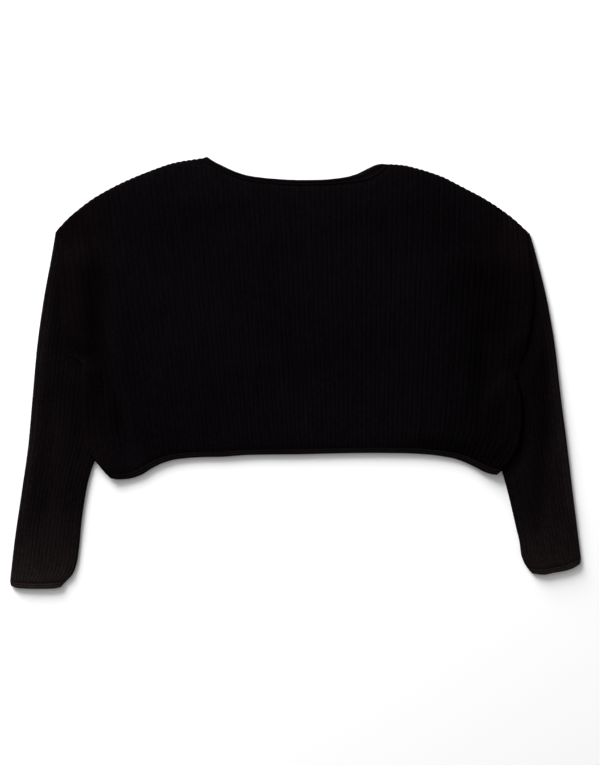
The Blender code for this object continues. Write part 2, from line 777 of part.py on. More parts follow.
def main():
    clear_scene()
    left = Sleeve(-1.0, LEFT_OUTER, LEFT_INNER, LEFT_CUFF, LEFT_SLEEVE_FOLDS)
    right = Sleeve(1.0, RIGHT_OUTER, RIGHT_INNER, RIGHT_CUFF, RIGHT_SLEEVE_FOLDS)
    make_front()
    make_back()
    make_sleeve("sleeve_left", left)
    make_sleeve("sleeve_right", right)
    make_band("neckband", neck_seam, neck_edge, body_levels, NECK_POINTS, NECK_LENGTH)
    make_band("hem_band", hem_seam, hem_edge, body_levels, HEM_POINTS, HEM_LENGTH)
    make_cuff("cuff_left", left)
    make_cuff("cuff_right", right)


main()
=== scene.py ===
"""Looks of a cropped sweater in black rib knit, laid flat and seen from straight above.

Every piece of cloth is made again here as a thin closed wall on its solid's form, with rounded
ribs, soft creases and rolled edges, and a knit material that runs along the ribs. Lengths are
millimetres, and the meshes are made in metres. X runs to the right, Y towards the neck, Z up.
"""
import math
from collections import namedtuple
from functools import partial

import bpy
import numpy as np
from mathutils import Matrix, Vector


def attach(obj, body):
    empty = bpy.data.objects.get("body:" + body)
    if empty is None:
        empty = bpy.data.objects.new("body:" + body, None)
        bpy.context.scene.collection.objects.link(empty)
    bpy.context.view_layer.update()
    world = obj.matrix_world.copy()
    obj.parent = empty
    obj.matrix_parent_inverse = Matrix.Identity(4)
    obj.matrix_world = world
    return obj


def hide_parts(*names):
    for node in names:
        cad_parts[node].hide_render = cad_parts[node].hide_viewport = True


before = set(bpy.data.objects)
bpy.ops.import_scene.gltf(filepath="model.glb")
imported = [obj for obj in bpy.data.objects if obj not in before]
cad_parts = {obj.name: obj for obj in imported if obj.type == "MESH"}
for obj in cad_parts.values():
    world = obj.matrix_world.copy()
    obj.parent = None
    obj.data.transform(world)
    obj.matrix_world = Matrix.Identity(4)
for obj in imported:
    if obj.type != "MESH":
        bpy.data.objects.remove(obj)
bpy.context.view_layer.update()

MM = 0.001


def rows_of(kind, rows):
    """A table of rows with named values."""
    return tuple(kind(*map(float, row)) for row in rows)


# The camera looks straight down on the point under the photograph's centre.
VIEW_CENTRE = (5.8, -12.5)
VIEW_LONG_SIDE = 979.2
CAMERA_HEIGHT = 3000.0
CLOTH_LEVEL = 8.0
SENSOR = 36.0
CLIPPING = (0.1, 20.0)

# Floor: half its width and how far it lies under the cloth, in metres
FLOOR_REACH = 6.0
FLOOR_DROP = 0.0002

# Light: an even white room, and two broad soft lights from the upper left, a low one and a
# high one, in metres and watts
WORLD_STRENGTH = 0.33
LIGHT_DISTANCE = 4.4
Light = namedtuple("Light", "direction size power")
LIGHTS = {
    "low_light": Light((-0.5, 0.8, 0.34), 2.9, 488.0),
    "high_light": Light((-0.5, 0.8, 1.05), 3.6, 44.0),
}

# The cloth
BACK_WALL = 2.4
FRONT_WALL = 2.0
RIB_HEIGHT = 0.5
SLEEVE_RIB_HEIGHT = 0.42
RIB_ROUNDNESS = 0.9
UNDER_RIB = 0.7
BAND_WALL = 2.5
SEAM_GAP = 0.3
SEAM_PRESS = 0.1
BODY_RIBS = 91
SLEEVE_RIBS = 17
COURSE = 3.5
NECK_DRAWN_IN = ((-1, 3.6), (-2, 3.0), (-3, 1.0))
HEM_DRAWN_IN = 0.6

# How finely the walls are divided
RIB_STEPS = 8
UNDER_STEPS = 4
BODY_ROWS = 114
# Share of the rows used up at a share of the height, below and above the underarm notches
NOTCH_ROWS = ((0.25, 0.34), (0.66, 0.53))
SLEEVE_ROW_COUNT = 150
PLAIN_ROWS = 40
EDGE_PLACES = (0.0, 0.3, 0.8, 1.5, 2.4)
NECK_LENGTH = 250.0
HEM_LENGTH = 520.0
PANEL_LENGTH = HEM_LENGTH * 2.0 / 3.0
CUFF_LENGTH = 72.0
BAND_STEP = 1.0

# Rounded edges, where a panel turns over to the one below it, and the dips along the seams
EDGE_RADIUS = 4.0
EDGE_LOW = 0.15
SCALLOP = 0.9
SEAM_DIP = 0.4
SEAM_DIP_WIDTH = 1.8

# How far the body stands over the sleeves that it covers, and how it comes down beside them
OVER_SLEEVE = 5.6
LIFT_SLOPE = 28.0
LIFT_SLOPE_AT_HEM = 48.0
LIFT_RISE = 26.0
LIFT_START = 16.0
HEM_LEVEL = -60.0
CORNER_LEVEL = -125.0

# How far a side edge's own curve bends the ribs beside it, as a share of the width
LEFT_REACH = 0.2
RIGHT_REACH = 0.32
NOTCH_REACH = 0.09

HEM_BAND = 6.0

# Cross-section of a band: share of its depth from its seam, share of its thickness
BandRow = namedtuple("BandRow", "out thick")
BAND_PROFILE = rows_of(BandRow, [
    (-0.02, 0.5), (0.1, 0.82), (0.18, 1.08), (0.27, 1.04),
    (0.36, 0.9), (0.48, 1), (0.64, 1.24), (0.8, 1.2),
    (0.92, 0.86), (0.98, 0.5), (1, 0.3),
])
BAND_ROWS = 19
BAND_CROWDING = 0.9
BAND_COURSES = 2.0
BAND_LOOP = 2.8
BAND_LOOP_HEIGHT = 0.07

# Side edges of the front and back, a row for each section from the hem to the shoulder tips.
# The armholes start in the seventh row, and the rows before it are the side seams.
Section = namedtuple("Section", "left_x left_y right_x right_y")
BODY_SECTIONS = rows_of(Section, [
    (-243, -129, 264.5, -124.8),
    (-257.5, -111.5, 277, -109),
    (-267, -98, 286, -92.5),
    (-271, -60, 290, -60.5),
    (-272, -25, 289, -36),
    (-272.5, 1, 285.5, -17),
    (-273.5, 10, 281, -7),
    (-280, 17.5, 285, 5),
    (-292.5, 21.5, 289, 16.5),
    (-296.5, 30, 293, 28),
    (-298, 70, 301, 66),
    (-300.5, 110, 304, 100),
    (-304, 145, 301.5, 140),
    (-306, 177, 299.3, 175),
    (-306.3, 179.8, 299.1, 177.8),
    (-306.6, 181, 299, 179),
])
UNDERARM = 6
# Sections of the notch at the underarms, which the ribs don't follow
LEFT_NOTCH = (5, 6, 7, 8, 9)
RIGHT_NOTCH = (4, 5, 6, 7, 8, 9)

Spot = namedtuple("Spot", "x y")
LEFT_SHOULDER = rows_of(Spot, [
    (-306.6, 181), (-298, 191.5), (-280, 207.5), (-260, 222.5), (-233, 238),
    (-197.5, 254), (-156, 268.5), (-137.5, 272), (-121, 274.5),
])
NECK_SEAM = rows_of(Spot, [
    (-121, 274.5), (-112, 267.5), (-95, 258.5), (-79, 251.5), (-62.5, 246.5),
    (-31, 242), (6, 240), (38, 240.5), (65, 242.5), (84, 244.5),
    (98, 248), (108, 253.5), (115, 260), (121, 267),
])
RIGHT_SHOULDER = rows_of(Spot, [
    (121, 267), (139, 265.5), (154, 262), (185, 252), (215.5, 237),
    (246.5, 220), (277, 199), (292.5, 185), (299, 179),
])
NECK_EDGE = rows_of(Spot, [
    (-113.5, 277), (-104.5, 271), (-91.5, 264.5), (-76, 257.5), (-61, 253),
    (-30, 249), (6, 247.2), (31.5, 247.5), (62, 250.5), (77.5, 254.5),
    (93, 262), (103, 266.5), (110.5, 268),
])
HEM_EDGE = rows_of(Spot, [
    (-237, -135), (-227, -136.8), (-214.5, -136), (-199, -131.5), (-184, -122.5),
    (-168, -115), (-153, -111), (-122, -108.3), (-96, -107.8), (-58, -105.3),
    (6, -104.5), (57, -103.3), (95.5, -102.8), (139, -103.2), (169.5, -104.8),
    (200, -109.2), (216, -114.3), (231, -121.3), (241.5, -126.8), (251.5, -130),
    (258, -130.8),
])

# Sleeves, from the shoulder down. The inner edge starts at the underarm, goes in under the
# body and comes out at the hem's corner.
LEFT_OUTER = rows_of(Spot, [
    (-307.4, 181), (-311.8, 154.5), (-323, 93), (-331.5, 31.5), (-337, -30),
    (-342.5, -91.5), (-351, -152.5), (-360, -214), (-366, -267),
])
LEFT_INNER = rows_of(Spot, [
    (-273.5, 10), (-270, 5), (-262, -11), (-251, -29), (-246, -48),
    (-248.5, -76), (-257.3, -111.7), (-262.4, -127), (-267, -145), (-273.3, -183.5),
    (-279, -237), (-283, -252.5), (-287, -260), (-294, -267),
])
RIGHT_OUTER = rows_of(Spot, [
    (300, 179), (303, 170), (307.3, 154.5), (322.4, 93), (333, 31.5),
    (340, -30), (348, -91.5), (355.3, -152.5), (363, -214), (366, -238),
])
RIGHT_INNER = rows_of(Spot, [
    (281, -7), (279.5, -12), (274, -24), (260, -40), (251, -57),
    (251, -76), (257.5, -103), (266.2, -131), (274.6, -163), (282.2, -196),
    (287.5, -219.3), (289.3, -233.3), (292.5, -242.3), (297.5, -250.5),
])

# Where the body starts to come down beside the part of a sleeve that it covers
LEFT_COVER = rows_of(Spot, [
    (-265, 10), (-254, -12), (-244.5, -40), (-243, -72), (-252, -112),
    (-264, -150),
])
RIGHT_COVER = rows_of(Spot, [
    (274, -7), (259, -26), (249, -46), (247, -76), (252.5, -103),
    (261.5, -131), (271, -163),
])

# Sleeve ends and the free edges of the cuff bands, from the outer to the inner edge.
Cuff = namedtuple("Cuff", "share sleeve_y free_x free_y")
LEFT_CUFF = rows_of(Cuff, [
    (0, -267, -364.5, -273.5),
    (0.15, -269.3, -354, -276.2),
    (0.5, -270.3, -331.5, -277),
    (0.8, -269.5, -311, -276.7),
    (1, -267, -301, -275),
])
RIGHT_CUFF = rows_of(Cuff, [
    (0, -238, 365, -245),
    (0.12, -242.5, 357, -250),
    (0.3, -247, 345, -254),
    (0.5, -250, 331, -256.5),
    (0.7, -252, 318.5, -259),
    (1, -250.5, 303.5, -257.3),
])

# The ribs keep their width over this share of a sleeve, and the rest is drawn in at the
# underarm, down to the fifth spot of its inner edge.
EVEN_SHARE = 0.56
DRAWN_IN_TO = 4
SLEEVE_WIDTH = 90.0
HOLLOW_EDGE = 0.03
HOLLOW_COLUMNS = 24
# How far the upper side of a sleeve stands off the lower, and over which lengths that fades
SLEEVE_PUFF = 2.6
PUFF_ROUNDNESS = 0.8
PUFF_SLOPE = 20.0
# Heights beside a point over which the body's edge is evened out for that
PUFF_HEIGHTS = (0.0, 7.0, 14.0, 21.0, 28.0)
CUFF_PUFF = 0.35
CUFF_EASE = 70.0

# Folds: from a start to an end, with a sideways bow, a half width and a height.
# Each dies out over a quarter of its length at both ends.
FOLD_ENDS = 4.0
Fold = namedtuple("Fold", "x0 y0 x1 y1 bow width height")
BODY_FOLDS = rows_of(Fold, [
    (-256, 175, -256, -75, 0, 11, -2.4),
    (-240, 120, -226, -105, 2, 8, 0.4),
    (-256.5, 115, -215, -125, 4, 10, -2.2),
    (-236, 60, -197, -120, 4, 12, 1.2),
    (235, 40, 270, -75, -9, 14, -1.6),
    (262, 40, 282, -80, 0, 9, 1.2),
    (218, 90, 232, -110, 0, 16, 0.9),
    # Finer creases
    (-281, 172, -279, 4, 2, 17, 2.8),
    (243, 90, 243, -104, 0, 18, -2.6),
    (-270, 60, -268, -20, 1, 3.5, 0.5),
    (-262, 18, -228, -22, 3, 4, -0.5),
    (-266, -8, -236, -60, -3, 4.5, 0.5),
    (-258, -50, -228, -112, 3, 5, -0.5),
    (-224, -60, -180, -112, -3, 7, 0.5),
    (-205, 150, -190, 10, 6, 14, 0.5),
    (-176, 60, -160, -95, -5, 13, 0.45),
    (-118, 262, -150, 205, 4, 7, 0.5),
    (-98, 250, -112, 190, -3, 8, 0.4),
    (118, 256, 152, 200, -4, 7, 0.5),
    (92, 240, 108, 175, 3, 8, 0.4),
    (-60, 200, -48, -60, 7, 22, 0.35),
    (20, 215, 34, -80, -6, 20, 0.35),
    (110, 130, 122, -90, 6, 18, 0.4),
    (176, 190, 192, -20, 5, 14, 0.5),
    (252, 150, 262, 40, -3, 8, 0.7),
    (276, 120, 268, 10, 3, 6, -0.5),
    (272, 20, 246, -20, 3, 4.5, -0.5),
    (276, -20, 250, -58, -3, 4, 0.5),
    (278, -70, 236, -114, 4, 6, 0.5),
])
# The front swells beside the armholes and side seams: where the swell starts and is full.
Swell = namedtuple("Swell", "start full top bottom height")
LEFT_SWELL = Swell(-190.0, -240.0, 175.0, -135.0, 3.4)
RIGHT_SWELL = Swell(110.0, 215.0, 175.0, -125.0, 4.4)
SWELL_FADE = 45.0
# Share of the step over a sleeve that the front does not show
STEP_HIDDEN = 0.85
SIDE_PINCH = 18.0
PINCH_RISE = 55.0
TOP_PINCH = 30.0
HEM_PINCH = 20.0

LEFT_SLEEVE_FOLDS = rows_of(Fold, [
    (-315.5, 0, -316, -210, 0, 11, -2),
    (-322, 60, -306, -30, 3, 6, 0.5),
    (-276, -150, -306, -176, 2, 5, 0.5),
    (-300, -120, -292, -225, -2, 8, 0.6),
    (-348, -170, -334, -240, 2, 7, 0.4),
])
RIGHT_SLEEVE_FOLDS = rows_of(Fold, [
    (322, -60, 313, -235, 0, 11, -1.8),
    (334, 20, 343, -140, 0, 14, 0.8),
    (296, -140, 318, -176, -2, 5, 0.5),
    (300, -180, 306, -236, 1, 6, 0.4),
    (350, -150, 346, -232, 0, 7, 0.4),
])

# Unevenness of the knit: how long its waves are, and how high
RIPPLE_LENGTH = 46.0
RIPPLE_HEIGHT = 0.22
WANDER_LENGTH = 38.0
WANDER = 0.28
RIB_VARIES = 0.16
WAVES = 7
WAVE_SPREAD = (0.7, 1.6)
WANDER_SEED, RIB_SEED, SLEEVE_RIB_SEED = 3, 5, 7
RIPPLE_SEED, SLEEVE_RIPPLE_SEED = 11, 17

# Linking stitches along the seams that show
STITCH_STEP = 3.4
STITCH_LENGTH = 2.6
STITCH_RADIUS = 0.42
STITCH_ARCH = 0.45
STITCH_SLANT = 0.5
STITCH_SIDES = 6
STITCH_LIFT = 0.168
NECK_STITCH_OUT = 0.15
SEAM_SAMPLES = 300
STITCHED = (0.004, 0.996)
CUFF_STITCHED = (0.03, 0.97)
ARM_STITCHED = slice(20, -21)
STITCH_PLACES = (-1.0, -0.6, 0.0, 0.6, 1.0)
STITCH_FULLNESS = (0.35, 0.9, 1.0, 0.9, 0.35)

SHARP_ANGLE = math.radians(60.0)
SHARE_SAMPLES = 401
HEIGHT_SAMPLES = 1201

# Colours of the cloth as linear red, green and blue
BODY_COLOUR = (0.0023, 0.00178, 0.00226)
SLEEVE_COLOUR = (0.0025, 0.00182, 0.00215)
BAND_COLOUR = (0.0026, 0.0019, 0.00225)
# A paler colour mixed in as a painted highlight towards the cuffs and along the sleeves' folds
PAINTED_HIGHLIGHT_COLOUR = (0.0064, 0.0046, 0.0046)
DROP_COLOUR = (0.0025, 0.00168, 0.00198)

# Where painted light makes the cloth paler, or painted shade deeper: the amount applies where
# all of its fades are full. A fade runs from where it is empty to where it is full: along x or y
# in metres, in ribs from a sleeve's outer edge, or by how far the cloth faces up.
Fade = namedtuple("Fade", "measure empty full")
Dye = namedtuple("Dye", "amount fades")
BODY_PAINTED_LIGHT_AND_SHADE = (
    # Painted shade in a band beside the right sleeve, and painted light on the cloth past it
    Dye(-0.3, [Fade("x", 0.12, 0.25)]),
    Dye(0.45, [Fade("x", 0.25, 0.285)]),
    # Painted light towards the neck and shoulders
    Dye(0.3, [Fade("y", 0.2, 0.262)]),
    # Painted shade in the trough beside the left sleeve, fading out at its sides and its ends
    Dye(-0.28, [Fade("x", -0.272, -0.258), Fade("x", -0.236, -0.25),
                Fade("y", -0.07, -0.02), Fade("y", 0.18, 0.12)]),
    # Painted light at the right shoulder, the hem's left corner and the shoulders' turned edges
    Dye(0.5, [Fade("x", 0.17, 0.26), Fade("y", 0.13, 0.2)]),
    Dye(0.6, [Fade("x", -0.16, -0.22), Fade("y", -0.07, -0.12)]),
    Dye(0.8, [Fade("facing", 0.95, 0.45), Fade("y", 0.15, 0.19)]),
)
# Painted light: paler down towards the cuffs, and paler again at their ends
PAINTED_CUFF_LIGHT = (
    Dye(0.4, [Fade("y", 0.06, -0.2)]),
    Dye(0.17, [Fade("y", -0.22, -0.275)]),
)
BAND_PAINTED_LIGHT = (
    *PAINTED_CUFF_LIGHT,
    # Painted light at the neck
    Dye(0.45, [Fade("y", 0.2, 0.235)]),
)
SLEEVE_PAINTED_LIGHT_AND_SHADE = (
    *PAINTED_CUFF_LIGHT,
    # On the right sleeve, painted light along its outer edge and painted shade beside the body
    Dye(0.4, [Fade("x", 0.321, 0.335), Fade("y", -0.24, -0.1)]),
    Dye(-0.28, [Fade("x", 0.329, 0.317), Fade("x", 0.0, 0.1), Fade("y", 0.05, 0.0),
                Fade("y", -0.13, -0.06)]),
)
# Where a knit's second colour shows: its own colour at the dropped shoulders, or a painted
# highlight down to the cuffs and along a sleeve's outer fold
DROPPED = (Dye(1.0, [Fade("x", 0.21, 0.275)]), Dye(1.0, [Fade("x", -0.21, -0.275)]))
PAINTED_CUFF_HIGHLIGHT = (Dye(1.0, [Fade("y", -0.15, -0.285)]),)
PAINTED_FOLD_HIGHLIGHT = (Dye(0.6, [Fade("rib", 3.4, 0.0)]),)

# The knits, by their slots. stitch is how high the stitches stand in the bump.
Knit = namedtuple("Knit", "colour second second_at dyes stitch")
KNITS = {
    "body_knit": Knit(BODY_COLOUR, DROP_COLOUR, DROPPED, BODY_PAINTED_LIGHT_AND_SHADE, 1.0),
    "sleeve_knit": Knit(SLEEVE_COLOUR, PAINTED_HIGHLIGHT_COLOUR, PAINTED_CUFF_HIGHLIGHT + PAINTED_FOLD_HIGHLIGHT, SLEEVE_PAINTED_LIGHT_AND_SHADE, 1.0),
    "band_knit": Knit(BAND_COLOUR, PAINTED_HIGHLIGHT_COLOUR, PAINTED_CUFF_HIGHLIGHT, BAND_PAINTED_LIGHT, 0.4),
}
# Noise in the cloth: its scale and detail, and the range that it is brought into
Noise = namedtuple("Noise", "scale detail low high")
TONE = Noise(7.0, 2.0, 0.9, 1.1)
STREAKS = Noise(1.3, 2.0, 0.92, 1.08)
YARN = Noise(260.0, 3.0, 0.8, 1.2)
ROUGHNESS = Noise(400.0, 2.0, 0.84, 0.98)
FUZZ = Noise(900.0, 4.0, 0.0, 0.35)
NOISE_SPAN = (0.3, 0.7)
STREAK_STRETCH = (1.0, 0.05, 1.0)
# Stitches: slant of their legs, depth between them, painted shade in grooves and light on crests, and
# bump
STITCH_ANGLE = 1.5
STITCH_DEPTH = 0.42
STITCH_PAINTED_SHADE = (0.0, 0.9, 0.93, 1.04)
KNIT_BUMP = 0.00045
# Linking yarn: size of its plies, painted shade between them, and their bump
PLY_SCALE = 500.0
PLY_PAINTED_SHADE = (0.2, 0.8, 0.8, 1.3)
PLY_BUMP = 0.0001
# Values that are the same all over a surface
KNIT_LOOK = {"Specular IOR Level": 0.0, "Sheen Weight": 0.0}
THREAD_LOOK = {"Roughness": 0.85, "Specular IOR Level": 0.05}
FLOOR_LOOK = {"Base Color": (0.93, 0.93, 0.93, 1.0), "Roughness": 0.9, "Specular IOR Level": 0.1}

# Slot of each piece, and the size that it was cut to, in metres: width, length and flat area
Piece = namedtuple("Piece", "slot width length area")
PIECES = {
    "front": Piece("body_knit", 0.612, 0.404, 0.204),
    "back": Piece("body_knit", 0.612, 0.404, 0.204),
    "sleeve_left": Piece("sleeve_knit", 0.182, 0.452, 0.055),
    "sleeve_right": Piece("sleeve_knit", 0.182, 0.433, 0.049),
    "neckband": Piece("band_knit", 0.52, 0.010, 0.0042),
    "hem_band": Piece("band_knit", 1.04, 0.010, 0.0070),
    "cuff_left": Piece("band_knit", 0.144, 0.010, 0.0011),
    "cuff_right": Piece("band_knit", 0.144, 0.010, 0.0011),
}


def smooth(share):
    """Rises softly from 0 to 1 as the share does."""
    share = np.clip(share, 0.0, 1.0)
    return share * share * (3.0 - 2.0 * share)


def mix(start, end, share):
    return start + (end - start) * share


def through(knots, values, at):
    """A smooth curve through the values at rising knots, which never swings past them."""
    knots = np.asarray(knots, dtype=float)
    values = np.asarray(values, dtype=float)
    at = np.clip(np.asarray(at, dtype=float), knots[0], knots[-1])
    rises = np.diff(values) / np.diff(knots)
    before, after = rises[:-1], rises[1:]
    turns = before * after <= 0.0
    inner = np.where(turns, 0.0, 2.0 * before * after / np.where(turns, 1.0, before + after))
    slopes = np.concatenate([rises[:1], inner, rises[-1:]])
    piece = np.clip(np.searchsorted(knots, at, side="right") - 1, 0, len(knots) - 2)
    span = knots[piece + 1] - knots[piece]
    t = (at - knots[piece]) / span
    ease = t * t * (3.0 - 2.0 * t)
    leave = t * (1.0 - t) ** 2 * span * slopes[piece]
    arrive = t * t * (1.0 - t) * span * slopes[piece + 1]
    return mix(values[piece], values[piece + 1], ease) + leave - arrive


def y_along(table, x):
    """Height on the page of an edge that runs from left to right."""
    return through(*zip(*table), x)


def x_down(table, y):
    """Place across the page of an edge whose spots run downwards."""
    xs, ys = zip(*table[::-1])
    return through(ys, xs, y)


def along(table, share):
    """Points of an edge at shares of its width."""
    x = mix(table[0].x, table[-1].x, share)
    return x, y_along(table, x)


def nearness(distance, reach):
    """From 1 beside an edge, falling to 0 at the reach."""
    return np.clip(1.0 - distance / reach, 0.0, 1.0) ** 2


def stacked(*parts):
    """A grid of points, or of places in the knit, from a grid for each coordinate."""
    return np.stack(parts, axis=-1)


def column(name):
    return np.array([getattr(section, name) for section in BODY_SECTIONS])


def uneven(x, y, length, seed):
    """Soft unevenness of about -1 to 1, in waves of about a length, the same in each run."""
    draw = np.random.default_rng(seed)
    total = np.zeros(np.shape(x))
    for _ in range(WAVES):
        angle, phase = draw.uniform(0.0, 2.0 * math.pi, 2)
        turn = 2.0 * math.pi / (length * draw.uniform(*WAVE_SPREAD))
        total = total + np.sin((x * math.cos(angle) + y * math.sin(angle)) * turn + phase)
    return total / math.sqrt(WAVES)


def hem_seam(across):
    """Seam between the panels and the hem band."""
    first, last = BODY_SECTIONS[0], HEM_EDGE[-1]
    free_x = mix(HEM_EDGE[0].x, last.x, across)
    return mix(first.left_x, first.right_x, across), y_along(HEM_EDGE, free_x) + HEM_BAND


def top_line(across):
    """Left shoulder, neck seam and right shoulder."""
    x = mix(BODY_SECTIONS[-1].left_x, BODY_SECTIONS[-1].right_x, across)
    y = np.where(x < NECK_SEAM[0].x, y_along(LEFT_SHOULDER, x), y_along(NECK_SEAM, x))
    return x, np.where(x > NECK_SEAM[-1].x, y_along(RIGHT_SHOULDER, x), y)


def side_run(side, rows):
    """Bend and notch of a side edge for rows counted in sections, and shares of the way up it."""
    name, notch = ("left", LEFT_NOTCH) if side < 0 else ("right", RIGHT_NOTCH)
    side_x_column, side_y_column = column(name + "_x"), column(name + "_y")
    y = np.interp(rows, np.arange(len(BODY_SECTIONS)), side_y_column)
    up = (y - side_y_column[0]) / (side_y_column[-1] - side_y_column[0])
    calm = through(np.delete(side_y_column, notch), np.delete(side_x_column, notch), y)
    bend = calm - mix(side_x_column[0], side_x_column[-1], up)
    return bend, through(side_y_column, side_x_column, y) - calm, up


def body_plan(across, rows):
    """Places of a panel's points, their distance from its top, and their places in ribs."""
    left_bend, left_notch, left_up = side_run(-1, rows)
    right_bend, right_notch, right_up = side_run(1, rows)
    up = mix(left_up[:, None], right_up[:, None], across[None, :])
    hem_x, hem_y = hem_seam(across)
    top_x, top_y = top_line(across)
    x = mix(hem_x, top_x, up) + left_bend[:, None] * nearness(across, LEFT_REACH)
    x = x + right_bend[:, None] * nearness(1.0 - across, RIGHT_REACH)
    y = mix(hem_y, top_y, up)
    inside = smooth(across * BODY_RIBS) * smooth((1.0 - across) * BODY_RIBS)
    calm_x = x + WANDER * uneven(x, y, WANDER_LENGTH, WANDER_SEED) * inside
    x = calm_x + left_notch[:, None] * nearness(across, NOTCH_REACH)
    x = x + right_notch[:, None] * nearness(1.0 - across, NOTCH_REACH)
    place = [np.interp(row, calm_row, across * BODY_RIBS) for row, calm_row in zip(x, calm_x)]
    past_left = np.clip(x - calm_x[:, :1], None, 0.0)
    past_right = np.clip(x - calm_x[:, -1:], 0.0, None)
    rib = (calm_x[:, -1:] - calm_x[:, :1]) / BODY_RIBS
    return x, y, (1.0 - up) * (top_y - hem_y), np.array(place) + (past_left + past_right) / rib


def side_x(y, side):
    """The body's edge at the left (-1) or right (+1)."""
    name = "left" if side < 0 else "right"
    heights = column(name + "_y")
    below = np.clip(heights[0] - y, 0.0, None)
    return through(heights, column(name + "_x"), y) - side * below


def fold_height(folds, x, y):
    """Height that the folds add, each a soft ridge or trough that dies out at its ends."""
    total = np.zeros(np.shape(x))
    for fold in folds:
        length = math.hypot(fold.x1 - fold.x0, fold.y1 - fold.y0)
        run_x, run_y = (fold.x1 - fold.x0) / length, (fold.y1 - fold.y0) / length
        run = ((x - fold.x0) * run_x + (y - fold.y0) * run_y) / length
        aside = (y - fold.y0) * run_x - (x - fold.x0) * run_y
        aside = aside - fold.bow * np.sin(math.pi * np.clip(run, 0.0, 1.0))
        ends = smooth(run * FOLD_ENDS) * smooth((1.0 - run) * FOLD_ENDS)
        total = total + fold.height * ends * np.exp(-((aside / fold.width) ** 2))
    return total


def lift(x, y):
    """How high the body's back stands over the surface, on the sleeves that it covers."""
    low = smooth((HEM_LEVEL - y) / (HEM_LEVEL - CORNER_LEVEL))
    slope = mix(LIFT_SLOPE, LIFT_SLOPE_AT_HEM, low)
    total = 0.0
    for side, cover in ((-1.0, LEFT_COVER), (1.0, RIGHT_COVER)):
        away = side * (x_down(cover, y) - x)
        rise = smooth((cover[0].y + LIFT_START - y) / LIFT_RISE)
        total = total + OVER_SLEEVE * smooth(1.0 - away / slope) * rise
    return total


def puff(x, y):
    """How far the front stands off the back, beside the armholes and in the folds."""
    height = 0.0
    edge = 1.0
    hidden = STEP_HIDDEN * lift(x, y) / OVER_SLEEVE
    for side, swell in ((-1.0, LEFT_SWELL), (1.0, RIGHT_SWELL)):
        reach = smooth((x - swell.start) / (swell.full - swell.start))
        ends = smooth((swell.top - y) / SWELL_FADE) * smooth((y - swell.bottom) / SWELL_FADE)
        height = height + swell.height * reach * ends * (1.0 - hidden)
        underarm = LEFT_INNER[0].y if side < 0 else RIGHT_INNER[0].y
        seam = smooth((underarm - y) / PINCH_RISE + 1.0)
        near = sum(side_x(y - below, side) for below in PUFF_HEIGHTS) / len(PUFF_HEIGHTS)
        pinch = smooth(side * (near - x) / SIDE_PINCH)
        edge = edge * mix(1.0, pinch, seam)
    top = np.interp(x, *zip(*(LEFT_SHOULDER + NECK_SEAM[1:] + RIGHT_SHOULDER[1:])))
    hem = y_along(HEM_EDGE, x) + HEM_BAND
    edge = edge * smooth((top - y) / TOP_PINCH) * smooth((y - hem) / HEM_PINCH)
    folded = fold_height(BODY_FOLDS, x, y)
    rippled = RIPPLE_HEIGHT * (1.0 + uneven(x, y, RIPPLE_LENGTH, RIPPLE_SEED))
    return np.maximum(height + folded + rippled, 0.0) * edge


Levels = namedtuple("Levels", "low high")


def body_levels(x, y, _share=None):
    """Heights of the back's inside and of the front's inside."""
    low = lift(x, y) + BACK_WALL
    return Levels(low, low + SEAM_GAP + puff(x, y))


def rounded(distance):
    """Share of the wall's height at a distance from an edge that turns over."""
    inside = 1.0 - np.clip(distance / EDGE_RADIUS, 0.0, 1.0)
    return EDGE_LOW + (1.0 - EDGE_LOW) * np.sqrt(1.0 - inside ** 2)


def seam_dip(distance):
    """Share of the wall's height at a distance from a seam."""
    return 1.0 - SEAM_DIP * np.exp(-((distance / SEAM_DIP_WIDTH) ** 2))


def panel_edge(x, y, to_top):
    """Share of a panel's thickness: rounded at its side seams and shoulders, low at its seams."""
    share = seam_dip(y - hem_line(x))
    for side, underarm in ((-1.0, LEFT_INNER[0].y), (1.0, RIGHT_INNER[0].y)):
        distance = side * (side_x(y, side) - x)
        turned = y < underarm - SEAM_GAP
        share = share * np.where(turned, rounded(distance), seam_dip(distance))
    shoulder = (x < NECK_SEAM[0].x) | (x > NECK_SEAM[-1].x)
    return share * np.where(shoulder, rounded(to_top), seam_dip(to_top))


def hem_line(x):
    """Height on the page of the seam of the hem band."""
    shares = (x - BODY_SECTIONS[0].left_x) / (BODY_SECTIONS[0].right_x - BODY_SECTIONS[0].left_x)
    return hem_seam(np.clip(shares, 0.0, 1.0))[1]


def rib_wave(place):
    """1 on the crests of the ribs and 0 in the grooves, rounded like cords."""
    return np.abs(np.sin(math.pi * place)) ** RIB_ROUNDNESS


def rib_columns(ribs, steps, width):
    """Shares across a piece, with a number of steps to each rib and close ones at its sides."""
    close = np.array(EDGE_PLACES[:2]) / width
    even = np.arange(1, steps * ribs) / (steps * ribs)
    return np.concatenate([close, even, 1.0 - close[::-1]])


def panel_rows(count):
    """Rows counted in sections, close beside the notches and at the panel's top."""
    close = 1.0 - np.array(EDGE_PLACES[::-1]) / PANEL_LENGTH
    shares, places = zip((0.0, 0.0), *NOTCH_ROWS, (1.0, close[0]))
    up = np.interp(np.linspace(0.0, 1.0, count)[:-1], shares, places)
    up = np.concatenate([up, close])
    index = np.arange(len(BODY_SECTIONS))
    sections_up = (side_run(-1, index)[2] + side_run(1, index)[2]) / 2.0
    return up, np.interp(up, sections_up, index)


